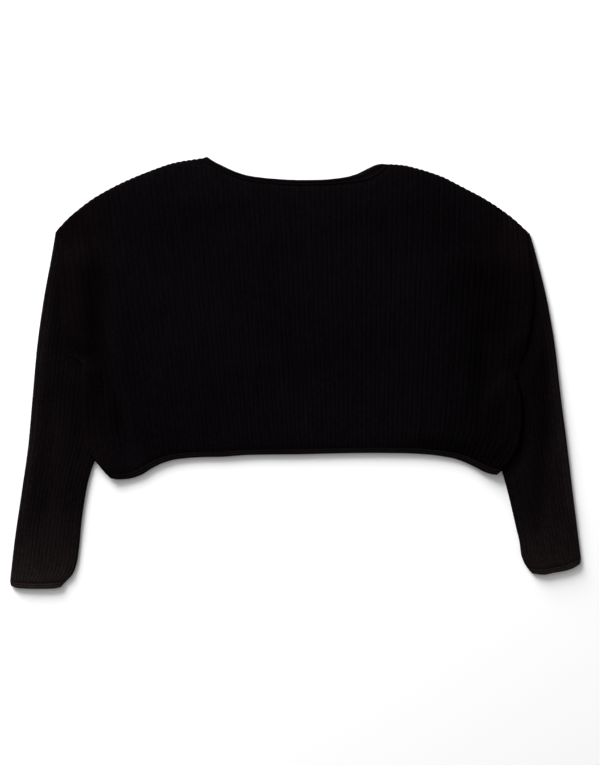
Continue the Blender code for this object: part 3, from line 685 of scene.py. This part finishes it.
def keep_inside(x, y):
    """Draws a plain face's neck and hem rows in, so that its long sides stay off the bands."""
    y = y.copy()
    neck = (x[-1] > NECK_SEAM[0].x) & (x[-1] < NECK_SEAM[-1].x)
    for row, drawn_in in NECK_DRAWN_IN:
        y[row] = np.where(neck, np.minimum(y[row], y[-1] - drawn_in * (row < -1)), y[row])
    y[-1] = np.where(neck, y[-1] - SEAM_GAP, y[-1])
    y[0] = y[0] + HEM_DRAWN_IN
    return y


def grid_faces(rows, columns, closed, first):
    """Four-cornered faces of a grid of points, as corner numbers."""
    wide = columns if closed else columns - 1
    row, col = np.meshgrid(np.arange(rows - 1), np.arange(wide), indexing="ij")
    a = first + row * columns + col
    b = first + row * columns + (col + 1) % columns
    return stacked(a, b, b + columns, a + columns).reshape(-1, 4).tolist()


def stitched(first, second, first_at, second_at):
    """Triangles between two rows of corners that run side by side."""
    faces = []
    i, j = 0, 0
    while i < len(first) - 1 or j < len(second) - 1:
        first_next = i < len(first) - 1
        if first_next and j < len(second) - 1:
            first_next = first_at[i + 1] <= second_at[j + 1]
        if first_next:
            faces.append((first[i + 1], first[i], second[j]))
            i += 1
        else:
            faces.append((second[j], second[j + 1], first[i]))
            j += 1
    return faces


def rim_loop(grid, first, row_at, col_at):
    """Corner numbers once round a grid's rim, and their places along it from 0 to 4."""
    numbers = first + np.arange(grid.shape[0] * grid.shape[1]).reshape(grid.shape[:2])
    corners = [numbers[0], numbers[1:, -1], numbers[-1, -2::-1], numbers[-2::-1, 0]]
    back_col, back_row = 1.0 - col_at[-2::-1], 1.0 - row_at[-2::-1]
    places = [col_at, 1.0 + row_at[1:], 2.0 + back_col, 3.0 + back_row]
    return np.concatenate(corners).tolist(), np.concatenate(places)


def volume(points, faces):
    total = 0.0
    for size in (3, 4):
        chosen = np.array([face for face in faces if len(face) == size])
        if len(chosen):
            for k in range(1, size - 1):
                a, b, c = points[chosen[:, 0]], points[chosen[:, k]], points[chosen[:, k + 1]]
                total += float(np.einsum("ij,ij->i", a, np.cross(b, c)).sum())
    return total


def add_object(name, data):
    made = bpy.data.objects.new(name, data)
    bpy.context.scene.collection.objects.link(made)
    return made


def add_mesh(name, points, faces, knit=None):
    """One closed piece. knit holds each point's place in ribs and courses."""
    if volume(points, faces) < 0.0:
        faces = [face[::-1] for face in faces]
    mesh = bpy.data.meshes.new(name)
    mesh.from_pydata((points * MM).tolist(), [], faces)
    mesh.shade_smooth()
    mesh.set_sharp_from_angle(angle=SHARP_ANGLE)
    if knit is not None:
        corner = np.zeros(len(mesh.loops), dtype=np.int32)
        mesh.loops.foreach_get("vertex_index", corner)
        layer = mesh.uv_layers.new(name="knit")
        layer.data.foreach_set("uv", knit[corner].astype(np.float32).ravel())
    return add_object(name, mesh)


def add_wall(name, outer, inner, closed, rim, knits):
    """A closed wall between an outer and an inner grid, joined by the faces of its rim."""
    start = outer.shape[0] * outer.shape[1]
    faces = grid_faces(*outer.shape[:2], closed, 0)
    faces += [face[::-1] for face in grid_faces(*inner.shape[:2], closed, start)]
    points = np.concatenate([outer.reshape(-1, 3), inner.reshape(-1, 3)])
    knit = np.concatenate([part.reshape(-1, 2) for part in knits])
    return add_mesh(name, points, faces + rim, knit)


def add_panel(name, outer, inner, outer_at, inner_at, knits):
    """A panel's wall; *_at are the grids' shares up and across."""
    first, first_at = rim_loop(outer, 0, *outer_at)
    second, second_at = rim_loop(inner, outer.shape[0] * outer.shape[1], *inner_at)
    rim = stitched(first, second, first_at, second_at)
    return add_wall(name, outer, inner, False, rim, knits)


def add_tube(name, outer, inner, outer_at, inner_at, knits):
    """A tube's wall; *_at are the places round the grids' rings."""
    rows, wide = outer.shape[:2]
    inner_rows, inner_wide = inner.shape[:2]
    start = rows * wide
    rim = []
    for last in (False, True):
        outer_ring = (rows - 1) * wide * last + np.arange(wide + 1) % wide
        inner_ring = start + (inner_rows - 1) * inner_wide * last
        inner_ring = inner_ring + np.arange(inner_wide + 1) % inner_wide
        faces = stitched(outer_ring.tolist(), inner_ring.tolist(), outer_at, inner_at)
        rim += [face[::-1] for face in faces] if last else faces
    return add_wall(name, outer, inner, True, rim, knits)


def make_panel(name, steps, outside, inside):
    """A panel with its outside as a function, and the name of its plain inside's level."""
    width = BODY_SECTIONS[-1].right_x - BODY_SECTIONS[-1].left_x
    across, plain = (rib_columns(BODY_RIBS, count, width) for count in (steps, 1))
    up, rows = panel_rows(BODY_ROWS)
    plain_up, plain_rows = panel_rows(PLAIN_ROWS)
    x, y, to_top, place = body_plan(across, rows)
    outer = outside(x, y, place, panel_edge(x, y, to_top))
    knit = stacked(place, (y - y[0]) / COURSE)
    x, y, _, place = body_plan(plain, plain_rows)
    inner = stacked(x, keep_inside(x, y), getattr(body_levels(x, y), inside))
    knits = (knit, stacked(place, (y - y[0]) / COURSE))
    return add_panel(name, outer, inner, (up, across), (plain_up, plain), knits)


def front_outside(x, y, place, edge):
    wave = rib_wave(place) * (1.0 + RIB_VARIES * uneven(x, y, WANDER_LENGTH, RIB_SEED))
    thick = (FRONT_WALL + RIB_HEIGHT * wave) * edge
    return stacked(x, y + SCALLOP * wave * (1.0 - edge), body_levels(x, y).high + thick)


def back_outside(x, y, place, edge):
    thick = (BACK_WALL - UNDER_RIB * (1.0 - rib_wave(place))) * edge
    return stacked(x, y, body_levels(x, y).low - thick)


class Sleeve:
    """Plan and heights of one sleeve, a flattened tube from the armhole to the cuff."""

    def __init__(self, side, outer, inner, cuff, folds):
        self.side, self.outer, self.inner, self.cuff, self.folds = side, outer, inner, cuff, folds
        self.even_below = inner[DRAWN_IN_TO].y
        name = "left" if side < 0 else "right"
        first, last = column(name + "_y")[UNDERARM], column(name + "_y")[-1]
        heights = np.linspace(first, last, HEIGHT_SAMPLES)
        self.arm_x = side_x(heights, side) - side * SEAM_PRESS
        self.arm_y = heights + SEAM_PRESS
        shares = np.array([self.armhole_share(y) for y in self.arm_y])
        self.arm_shares = np.maximum.accumulate(shares[::-1])

    def outer_x(self, y):
        return x_down(self.outer, y)

    def width(self, y):
        return np.abs(x_down(self.inner, y) - self.outer_x(y))

    def reach(self, share, y):
        """Distance in from the outer edge, for a share of the sleeve's cloth."""
        even = self.width(np.minimum(y, self.even_below))
        rest = (share - EVEN_SHARE) / (1.0 - EVEN_SHARE)
        drawn_in = EVEN_SHARE * even + rest * (self.width(y) - EVEN_SHARE * even)
        return np.where(share < EVEN_SHARE, share * even, drawn_in)

    def rib_place(self, share, y):
        """Place in ribs from the outer edge: they keep their width, and the seam cuts them off."""
        return SLEEVE_RIBS * self.reach(share, y) / self.width(np.minimum(y, self.even_below))

    def armhole_share(self, y):
        """Share of the cloth whose rib starts at the armhole seam at a height."""
        distance = np.abs(np.interp(y, self.arm_y, self.arm_x) - self.outer_x(y))
        shares = np.linspace(0.0, 1.0, SHARE_SAMPLES)
        return float(np.interp(distance, self.reach(shares, y), shares))

    def start_y(self, share):
        return np.interp(share, self.arm_shares, self.arm_y[::-1])

    def plan(self, share, rows):
        """Places of points for shares of the cloth round the tube, a row for each section."""
        start = self.start_y(share)
        shares, ends, _, _ = zip(*self.cuff)
        end = through(shares, ends, share)
        y = mix(start[None, :], end[None, :], np.asarray(rows)[:, None])
        x = self.outer_x(y) - self.side * self.reach(share[None, :], y)
        return x, y

    def levels(self, x, y, share):
        """Heights of the lower inside and of the upper inside."""
        near = sum(side_x(y + above, self.side) for above in PUFF_HEIGHTS) / len(PUFF_HEIGHTS)
        free = smooth(self.side * (x - near) / PUFF_SLOPE)
        end = smooth((self.cuff[0].sleeve_y + CUFF_EASE - y) / CUFF_EASE)
        dome = SLEEVE_PUFF * np.sin(math.pi * np.clip(share, 0.0, 1.0)) ** PUFF_ROUNDNESS
        rippled = RIPPLE_HEIGHT * (1.0 + uneven(x, y, RIPPLE_LENGTH, SLEEVE_RIPPLE_SEED))
        rise = dome * mix(1.0, CUFF_PUFF, end) + fold_height(self.folds, x, y) + rippled * (1.0 - end)
        rise = np.maximum(rise, 0.0) * free
        low = np.full(np.shape(x), BACK_WALL)
        return Levels(low, low + SEAM_GAP + rise)


def ring_of(top, bottom):
    """A closed ring of points: over the top to the far side, and back along the bottom."""
    return np.concatenate([top, bottom[:, ::-1]], axis=1)


def ring_shares(top, bottom):
    """Rising numbers along such a ring, to pair its points with those of another ring."""
    return np.concatenate([top, 2.0 - bottom[::-1], [2.0 + top[0]]])


def tube_share(share, width):
    """Share of the wall's thickness round the side folds of a flattened tube."""
    return rounded(np.minimum(share, 1.0 - share) * width)


def make_sleeve(name, sleeve):
    top = rib_columns(SLEEVE_RIBS, RIB_STEPS, SLEEVE_WIDTH)
    under = rib_columns(SLEEVE_RIBS, UNDER_STEPS, SLEEVE_WIDTH)[1:-1]
    hollow = np.linspace(HOLLOW_EDGE, 1.0 - HOLLOW_EDGE, HOLLOW_COLUMNS)
    rows = np.linspace(0.0, 1.0, SLEEVE_ROW_COUNT)
    hollow_rows = np.linspace(0.0, 1.0, PLAIN_ROWS)

    x, y = sleeve.plan(top, rows)
    place = sleeve.rib_place(top[None, :], y)
    wave = rib_wave(place) * (1.0 + RIB_VARIES * uneven(x, y, WANDER_LENGTH, SLEEVE_RIB_SEED))
    thick = (FRONT_WALL + SLEEVE_RIB_HEIGHT * wave) * tube_share(top, SLEEVE_WIDTH)
    thick = thick * seam_dip(y[0] - y) * seam_dip(y - y[-1])
    upper = stacked(x, y, sleeve.levels(x, y, top).high + thick)
    upper_knit = stacked(place, (y - y[-1]) / COURSE)

    x, y = sleeve.plan(under, rows)
    place = sleeve.rib_place(under[None, :], y)
    thick = (BACK_WALL - UNDER_RIB * (1.0 - rib_wave(place))) * tube_share(under, SLEEVE_WIDTH)
    lower = stacked(x, y, sleeve.levels(x, y, under).low - thick)
    lower_knit = stacked(place, (y - y[-1]) / COURSE)

    x, y = sleeve.plan(hollow, hollow_rows)
    low, high = sleeve.levels(x, y, hollow)
    inner = ring_of(stacked(x, y, high), stacked(x, y, low))
    knit = stacked(sleeve.rib_place(hollow[None, :], y), (y - y[-1]) / COURSE)
    outer_at, inner_at = ring_shares(top, under), ring_shares(hollow, hollow)
    knits = (ring_of(upper_knit, lower_knit), ring_of(knit, knit))
    return add_tube("knit_" + name, ring_of(upper, lower), inner, outer_at, inner_at, knits)


def make_band(name, seam, free, levels, length):
    """A narrow rolled band round an opening, flattened: its seam and free edge as functions."""
    close = np.array(EDGE_PLACES) / length
    count = int(length / BAND_STEP)
    even = np.linspace(EDGE_RADIUS / length, 1.0 - EDGE_RADIUS / length, count)
    top = np.concatenate([close, even, 1.0 - close[::-1]])
    under = np.concatenate([close[1:], even[::2], 1.0 - close[:0:-1]])
    hollow = np.linspace(even[0], even[-1], count // 2)
    outs = mix(BAND_PROFILE[0].out, 1.0, np.linspace(0.0, 1.0, BAND_ROWS) ** BAND_CROWDING)
    full = through(*zip(*BAND_PROFILE), outs)[:, None]
    outs = outs[:, None]

    def plan(share, out):
        return (mix(start, end, out) for start, end in zip(seam(share), free(share)))

    def knit(share, out):
        places = np.broadcast_arrays(share * length / BAND_LOOP, out * BAND_COURSES)
        return stacked(*places)

    loops = 1.0 + BAND_LOOP_HEIGHT * np.cos(2.0 * math.pi * top * length / BAND_LOOP)
    x, y = plan(top, outs)
    thick = BAND_WALL * full * tube_share(top, length) * loops
    upper = stacked(x, y, levels(x, y, top).high + thick)
    x, y = plan(under, outs)
    thick = BACK_WALL * np.minimum(full, 1.0) * tube_share(under, length)
    lower = stacked(x, y, levels(x, y, under).low - thick)
    rims = outs[[0, -1]]
    x, y = plan(hollow, rims)
    low, high = levels(x, y, hollow)
    inner = ring_of(stacked(x, y, high), stacked(x, y, low))
    outer_knit = ring_of(knit(top, outs), knit(under, outs))
    knits = (outer_knit, ring_of(knit(hollow, rims), knit(hollow, rims)))
    at = (ring_shares(top, under), ring_shares(hollow, hollow))
    return add_tube("knit_" + name, ring_of(upper, lower), inner, *at, knits)


def cuff_seam(sleeve, share):
    x, y = sleeve.plan(share, [1.0])
    return x[0], y[0]


def cuff_edge(sleeve, share):
    shares, _, free_x, free_y = zip(*sleeve.cuff)
    return through(shares, free_x, share), through(shares, free_y, share)


def make_cuff(name, sleeve):
    seam, free = partial(cuff_seam, sleeve), partial(cuff_edge, sleeve)
    return make_band(name, seam, free, sleeve.levels, CUFF_LENGTH)


def make_stitches(name, x, y, z):
    """Linking stitches across a seam through these points, each a short arched thread."""
    steps = np.hypot(np.diff(x), np.diff(y))
    length = np.concatenate([[0.0], np.cumsum(steps)])
    count = int(length[-1] / STITCH_STEP)
    at = (np.arange(count) + 0.5) * length[-1] / count
    centre = stacked(*(np.interp(at, length, values) for values in (x, y, z)))
    run = stacked(*(np.interp(at, length, np.gradient(values, length)) for values in (x, y)))
    run = run / np.linalg.norm(run, axis=1, keepdims=True)
    cross = stacked(-run[:, 1], run[:, 0]) + STITCH_SLANT * run
    cross = cross / np.linalg.norm(cross, axis=1, keepdims=True)
    aside = stacked(-cross[:, 1], cross[:, 0])
    points = []
    for place, full in zip(STITCH_PLACES, STITCH_FULLNESS):
        for k in range(STITCH_SIDES):
            angle = 2.0 * math.pi * k / STITCH_SIDES
            plan = centre[:, :2] + cross * place * STITCH_LENGTH / 2.0
            plan = plan + aside * math.cos(angle) * STITCH_RADIUS * full
            height = centre[:, 2] + STITCH_ARCH * (1.0 - place ** 2)
            height = height + math.sin(angle) * STITCH_RADIUS * full
            points.append(np.concatenate([plan, height[:, None]], axis=1))
    points = np.stack(points, axis=1)
    faces = []
    rings = len(STITCH_PLACES)
    for n in range(count):
        start = n * rings * STITCH_SIDES
        end = start + (rings - 1) * STITCH_SIDES
        faces += grid_faces(rings, STITCH_SIDES, True, start)
        faces += [(start, start + k + 1, start + k) for k in range(1, STITCH_SIDES - 1)]
        faces += [(end, end + k, end + k + 1) for k in range(1, STITCH_SIDES - 1)]
    return add_mesh(name, points.reshape(-1, 3), faces)


def seam_stitches(left, right):
    """Stitches along the neck, hem, armhole and cuff seams of the side that shows."""
    share = np.linspace(*STITCHED, SEAM_SAMPLES)
    x, y = along(NECK_SEAM, share)
    seams = [("neck", x, y + NECK_STITCH_OUT, body_levels(x, y))]
    x, y = hem_seam(share)
    seams.append(("hem", x, y, body_levels(x, y)))
    share = mix(*CUFF_STITCHED, share)
    for name, sleeve in (("left", left), ("right", right)):
        x, y = sleeve.arm_x[ARM_STITCHED], sleeve.arm_y[ARM_STITCHED]
        seams.append(("arm_" + name, x, y, body_levels(x, y)))
        x, y = cuff_seam(sleeve, share)
        seams.append(("cuff_" + name, x, y, sleeve.levels(x, y, share)))
    raised = FRONT_WALL * (1.0 - SEAM_DIP) + STITCH_LIFT
    return [make_stitches("stitches_" + name, x, y, at.high + raised) for name, x, y, at in seams]


class Nodes:
    """Short calls for adding and joining the nodes of one material."""

    def __init__(self, name):
        self.material = bpy.data.materials.new(name)
        self.material.use_nodes = True
        self.tree = self.material.node_tree
        self.shader = self.tree.nodes["Principled BSDF"]

    def add(self, kind, **values):
        node = self.tree.nodes.new(kind)
        for name, value in values.items():
            setattr(node, name, value)
        return node

    def join(self, source, target):
        self.tree.links.new(source, target)

    def math(self, operation, first, second=None):
        node = self.add("ShaderNodeMath", operation=operation)
        for socket, value in zip(node.inputs, (first, second)):
            if isinstance(value, (int, float)):
                socket.default_value = value
            elif value is not None:
                self.join(value, socket)
        return node.outputs[0]

    def spread(self, value, *ends):
        """The value from one range to another: low and high, then the new low and high."""
        node = self.add("ShaderNodeMapRange", interpolation_type="SMOOTHSTEP")
        self.join(value, node.inputs["Value"])
        for name, number in zip(("From Min", "From Max", "To Min", "To Max"), ends):
            node.inputs[name].default_value = number
        return node.outputs["Result"]

    def split(self, vector):
        node = self.add("ShaderNodeSeparateXYZ")
        self.join(vector, node.inputs[0])
        return node.outputs

    def noise(self, vector, noise):
        node = self.add("ShaderNodeTexNoise")
        node.inputs["Scale"].default_value = noise.scale
        node.inputs["Detail"].default_value = noise.detail
        self.join(vector, node.inputs["Vector"])
        return node.outputs["Fac"]

    def speckle(self, vector, noise):
        return self.spread(self.noise(vector, noise), *NOISE_SPAN, noise.low, noise.high)

    def patch(self, measures, dye_or_light):
        """Amount of painted light, painted shade or second colour where all its fades are full."""
        amount = dye_or_light.amount
        for fade in dye_or_light.fades:
            full = self.spread(measures[fade.measure], fade.empty, fade.full, 0.0, 1.0)
            amount = self.math("MULTIPLY", full, amount)
        return amount

    def two_colours(self, first, second, share):
        node = self.add("ShaderNodeMix", data_type="RGBA")
        colours = [socket for socket in node.inputs if socket.type == "RGBA"]
        for socket, colour in zip(colours, (first, second)):
            socket.default_value = (*colour, 1.0)
        self.join(share, node.inputs["Factor"])
        return [socket for socket in node.outputs if socket.type == "RGBA"][0]

    def colour(self, base, shade):
        """Gives the shader a base colour, fixed or from a node, scaled by a shade."""
        node = self.add("ShaderNodeVectorMath", operation="SCALE")
        if isinstance(base, tuple):
            node.inputs[0].default_value = base
        else:
            self.join(base, node.inputs[0])
        self.join(shade, node.inputs["Scale"])
        self.join(node.outputs[0], self.shader.inputs["Base Color"])

    def bump(self, height, distance):
        node = self.add("ShaderNodeBump")
        node.inputs["Distance"].default_value = distance
        self.join(height, node.inputs["Height"])
        self.join(node.outputs["Normal"], self.shader.inputs["Normal"])

    def look(self, values):
        """Values that are the same all over the surface."""
        for name, value in values.items():
            self.shader.inputs[name].default_value = value
        return self.material


def knit_material(name, knit):
    """Matte black knit: yarn stitches along the ribs, fuzz, uneven tone, and painted light and shade.
    """
    nodes = Nodes(name)
    place = nodes.add("ShaderNodeUVMap", uv_map="knit").outputs["UV"]
    rib, course, _ = nodes.split(place)
    coordinates = nodes.add("ShaderNodeTexCoord").outputs
    where = coordinates["Object"]
    x, y, _ = nodes.split(where)
    measures = {"x": x, "y": y, "rib": rib, "facing": nodes.split(coordinates["Normal"])[2]}

    from_crest = nodes.math("ABSOLUTE", nodes.math("SUBTRACT", nodes.math("FRACT", rib), 0.5))
    chevron = nodes.math("ADD", course, nodes.math("MULTIPLY", from_crest, STITCH_ANGLE))
    beat = nodes.math("COSINE", nodes.math("MULTIPLY", chevron, 2.0 * math.pi))
    beat = nodes.math("ADD", nodes.math("MULTIPLY", beat, STITCH_DEPTH), 1.0 - STITCH_DEPTH)
    leg = nodes.math("SINE", nodes.math("MULTIPLY", from_crest, 2.0 * math.pi))
    loop = nodes.math("MULTIPLY", leg, beat)
    fuzz = nodes.math("MULTIPLY", nodes.noise(where, FUZZ), FUZZ.high)
    nodes.bump(nodes.math("ADD", nodes.math("MULTIPLY", loop, knit.stitch), fuzz), KNIT_BUMP)

    streak = nodes.add("ShaderNodeMapping")
    streak.inputs["Scale"].default_value = STREAK_STRETCH
    nodes.join(place, streak.inputs["Vector"])
    # Painted shade between the stitches, where their bump is low, and painted light on their crests
    shade = nodes.spread(loop, *STITCH_PAINTED_SHADE)
    for vector, noise in ((where, TONE), (streak.outputs["Vector"], STREAKS), (where, YARN)):
        shade = nodes.math("MULTIPLY", shade, nodes.speckle(vector, noise))
    # Painted light and painted shade, multiplied into the knit's colour
    for dye_or_light in knit.dyes:
        shade = nodes.math("MULTIPLY", shade, nodes.math("ADD", nodes.patch(measures, dye_or_light), 1.0))
    # Second colour: real at the dropped shoulders, a painted highlight on sleeves and bands
    second_at = nodes.patch(measures, knit.second_at[0])
    for dye_or_light in knit.second_at[1:]:
        second_at = nodes.math("MAXIMUM", second_at, nodes.patch(measures, dye_or_light))
    nodes.colour(nodes.two_colours(knit.colour, knit.second, second_at), shade)
    nodes.join(nodes.speckle(where, ROUGHNESS), nodes.shader.inputs["Roughness"])
    return nodes.look(KNIT_LOOK)


def thread_material():
    """Black linking yarn, a little lighter than the knit beside it."""
    nodes = Nodes("thread")
    ply = nodes.add("ShaderNodeTexWave", wave_type="BANDS", bands_direction="DIAGONAL")
    ply.inputs["Scale"].default_value = PLY_SCALE
    ply.inputs["Distortion"].default_value = 1.0
    nodes.join(nodes.add("ShaderNodeTexCoord").outputs["Object"], ply.inputs["Vector"])
    # Painted shade between the plies
    nodes.colour(BAND_COLOUR, nodes.spread(ply.outputs["Fac"], *PLY_PAINTED_SHADE))
    nodes.bump(ply.outputs["Fac"], PLY_BUMP)
    return nodes.look(THREAD_LOOK)


def dress(piece, slot, material):
    """Finish and body of one piece."""
    piece.data.materials.append(material)
    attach(piece, "root")


def add_floor():
    mesh = bpy.data.meshes.new("floor")
    corners = ((-1.0, -1.0), (1.0, -1.0), (1.0, 1.0), (-1.0, 1.0))
    points = [(x * FLOOR_REACH, y * FLOOR_REACH, 0.0) for x, y in corners]
    mesh.from_pydata(points, [], [(0, 1, 2, 3)])
    mesh.materials.append(Nodes("pale_floor").look(FLOOR_LOOK))
    floor = add_object("floor", mesh)
    floor.location.z = -FLOOR_DROP


def light_scene():
    world = bpy.data.worlds.new("studio")
    world.use_nodes = True
    backdrop = world.node_tree.nodes["Background"]
    backdrop.inputs["Color"].default_value = (1.0, 1.0, 1.0, 1.0)
    backdrop.inputs["Strength"].default_value = WORLD_STRENGTH
    bpy.context.scene.world = world
    for name, (direction, size, power) in LIGHTS.items():
        light = bpy.data.lights.new(name, "AREA")
        light.shape = "DISK"
        light.size = size
        light.energy = power
        lamp = add_object(name, light)
        lamp.visible_camera = False
        lamp.location = Vector(direction).normalized() * LIGHT_DISTANCE
        lamp.rotation_mode = "QUATERNION"
        lamp.rotation_quaternion = Vector(direction).to_track_quat("Z", "Y")


def add_camera():
    camera = bpy.data.cameras.new("camera")
    camera.sensor_width = SENSOR
    camera.lens = SENSOR * (CAMERA_HEIGHT - CLOTH_LEVEL) / VIEW_LONG_SIDE
    camera.clip_start, camera.clip_end = CLIPPING
    eye = add_object("camera", camera)
    eye.location = (VIEW_CENTRE[0] * MM, VIEW_CENTRE[1] * MM, CAMERA_HEIGHT * MM)
    bpy.context.scene.camera = eye


def main():
    left = Sleeve(-1.0, LEFT_OUTER, LEFT_INNER, LEFT_CUFF, LEFT_SLEEVE_FOLDS)
    right = Sleeve(1.0, RIGHT_OUTER, RIGHT_INNER, RIGHT_CUFF, RIGHT_SLEEVE_FOLDS)
    neck = (partial(along, NECK_SEAM), partial(along, NECK_EDGE), body_levels, NECK_LENGTH)
    hem = (hem_seam, partial(along, HEM_EDGE), body_levels, HEM_LENGTH)
    knits = {name: knit_material(name, knit) for name, knit in KNITS.items()}
    thread = thread_material()
    pieces = {
        "front": make_panel("knit_front", RIB_STEPS, front_outside, "high"),
        "back": make_panel("knit_back", UNDER_STEPS, back_outside, "low"),
        "sleeve_left": make_sleeve("sleeve_left", left),
        "sleeve_right": make_sleeve("sleeve_right", right),
        "neckband": make_band("neckband", *neck),
        "hem_band": make_band("hem_band", *hem),
        "cuff_left": make_cuff("cuff_left", left),
        "cuff_right": make_cuff("cuff_right", right),
    }
    for node, piece in pieces.items():
        cut = PIECES[node]
        dress(piece, cut.slot, knits[cut.slot])
        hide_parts(node)
    for piece in seam_stitches(left, right):
        dress(piece, "band_knit", thread)
    add_floor()
    light_scene()
    add_camera()
    bpy.context.scene.view_settings.view_transform = "Standard"


main()
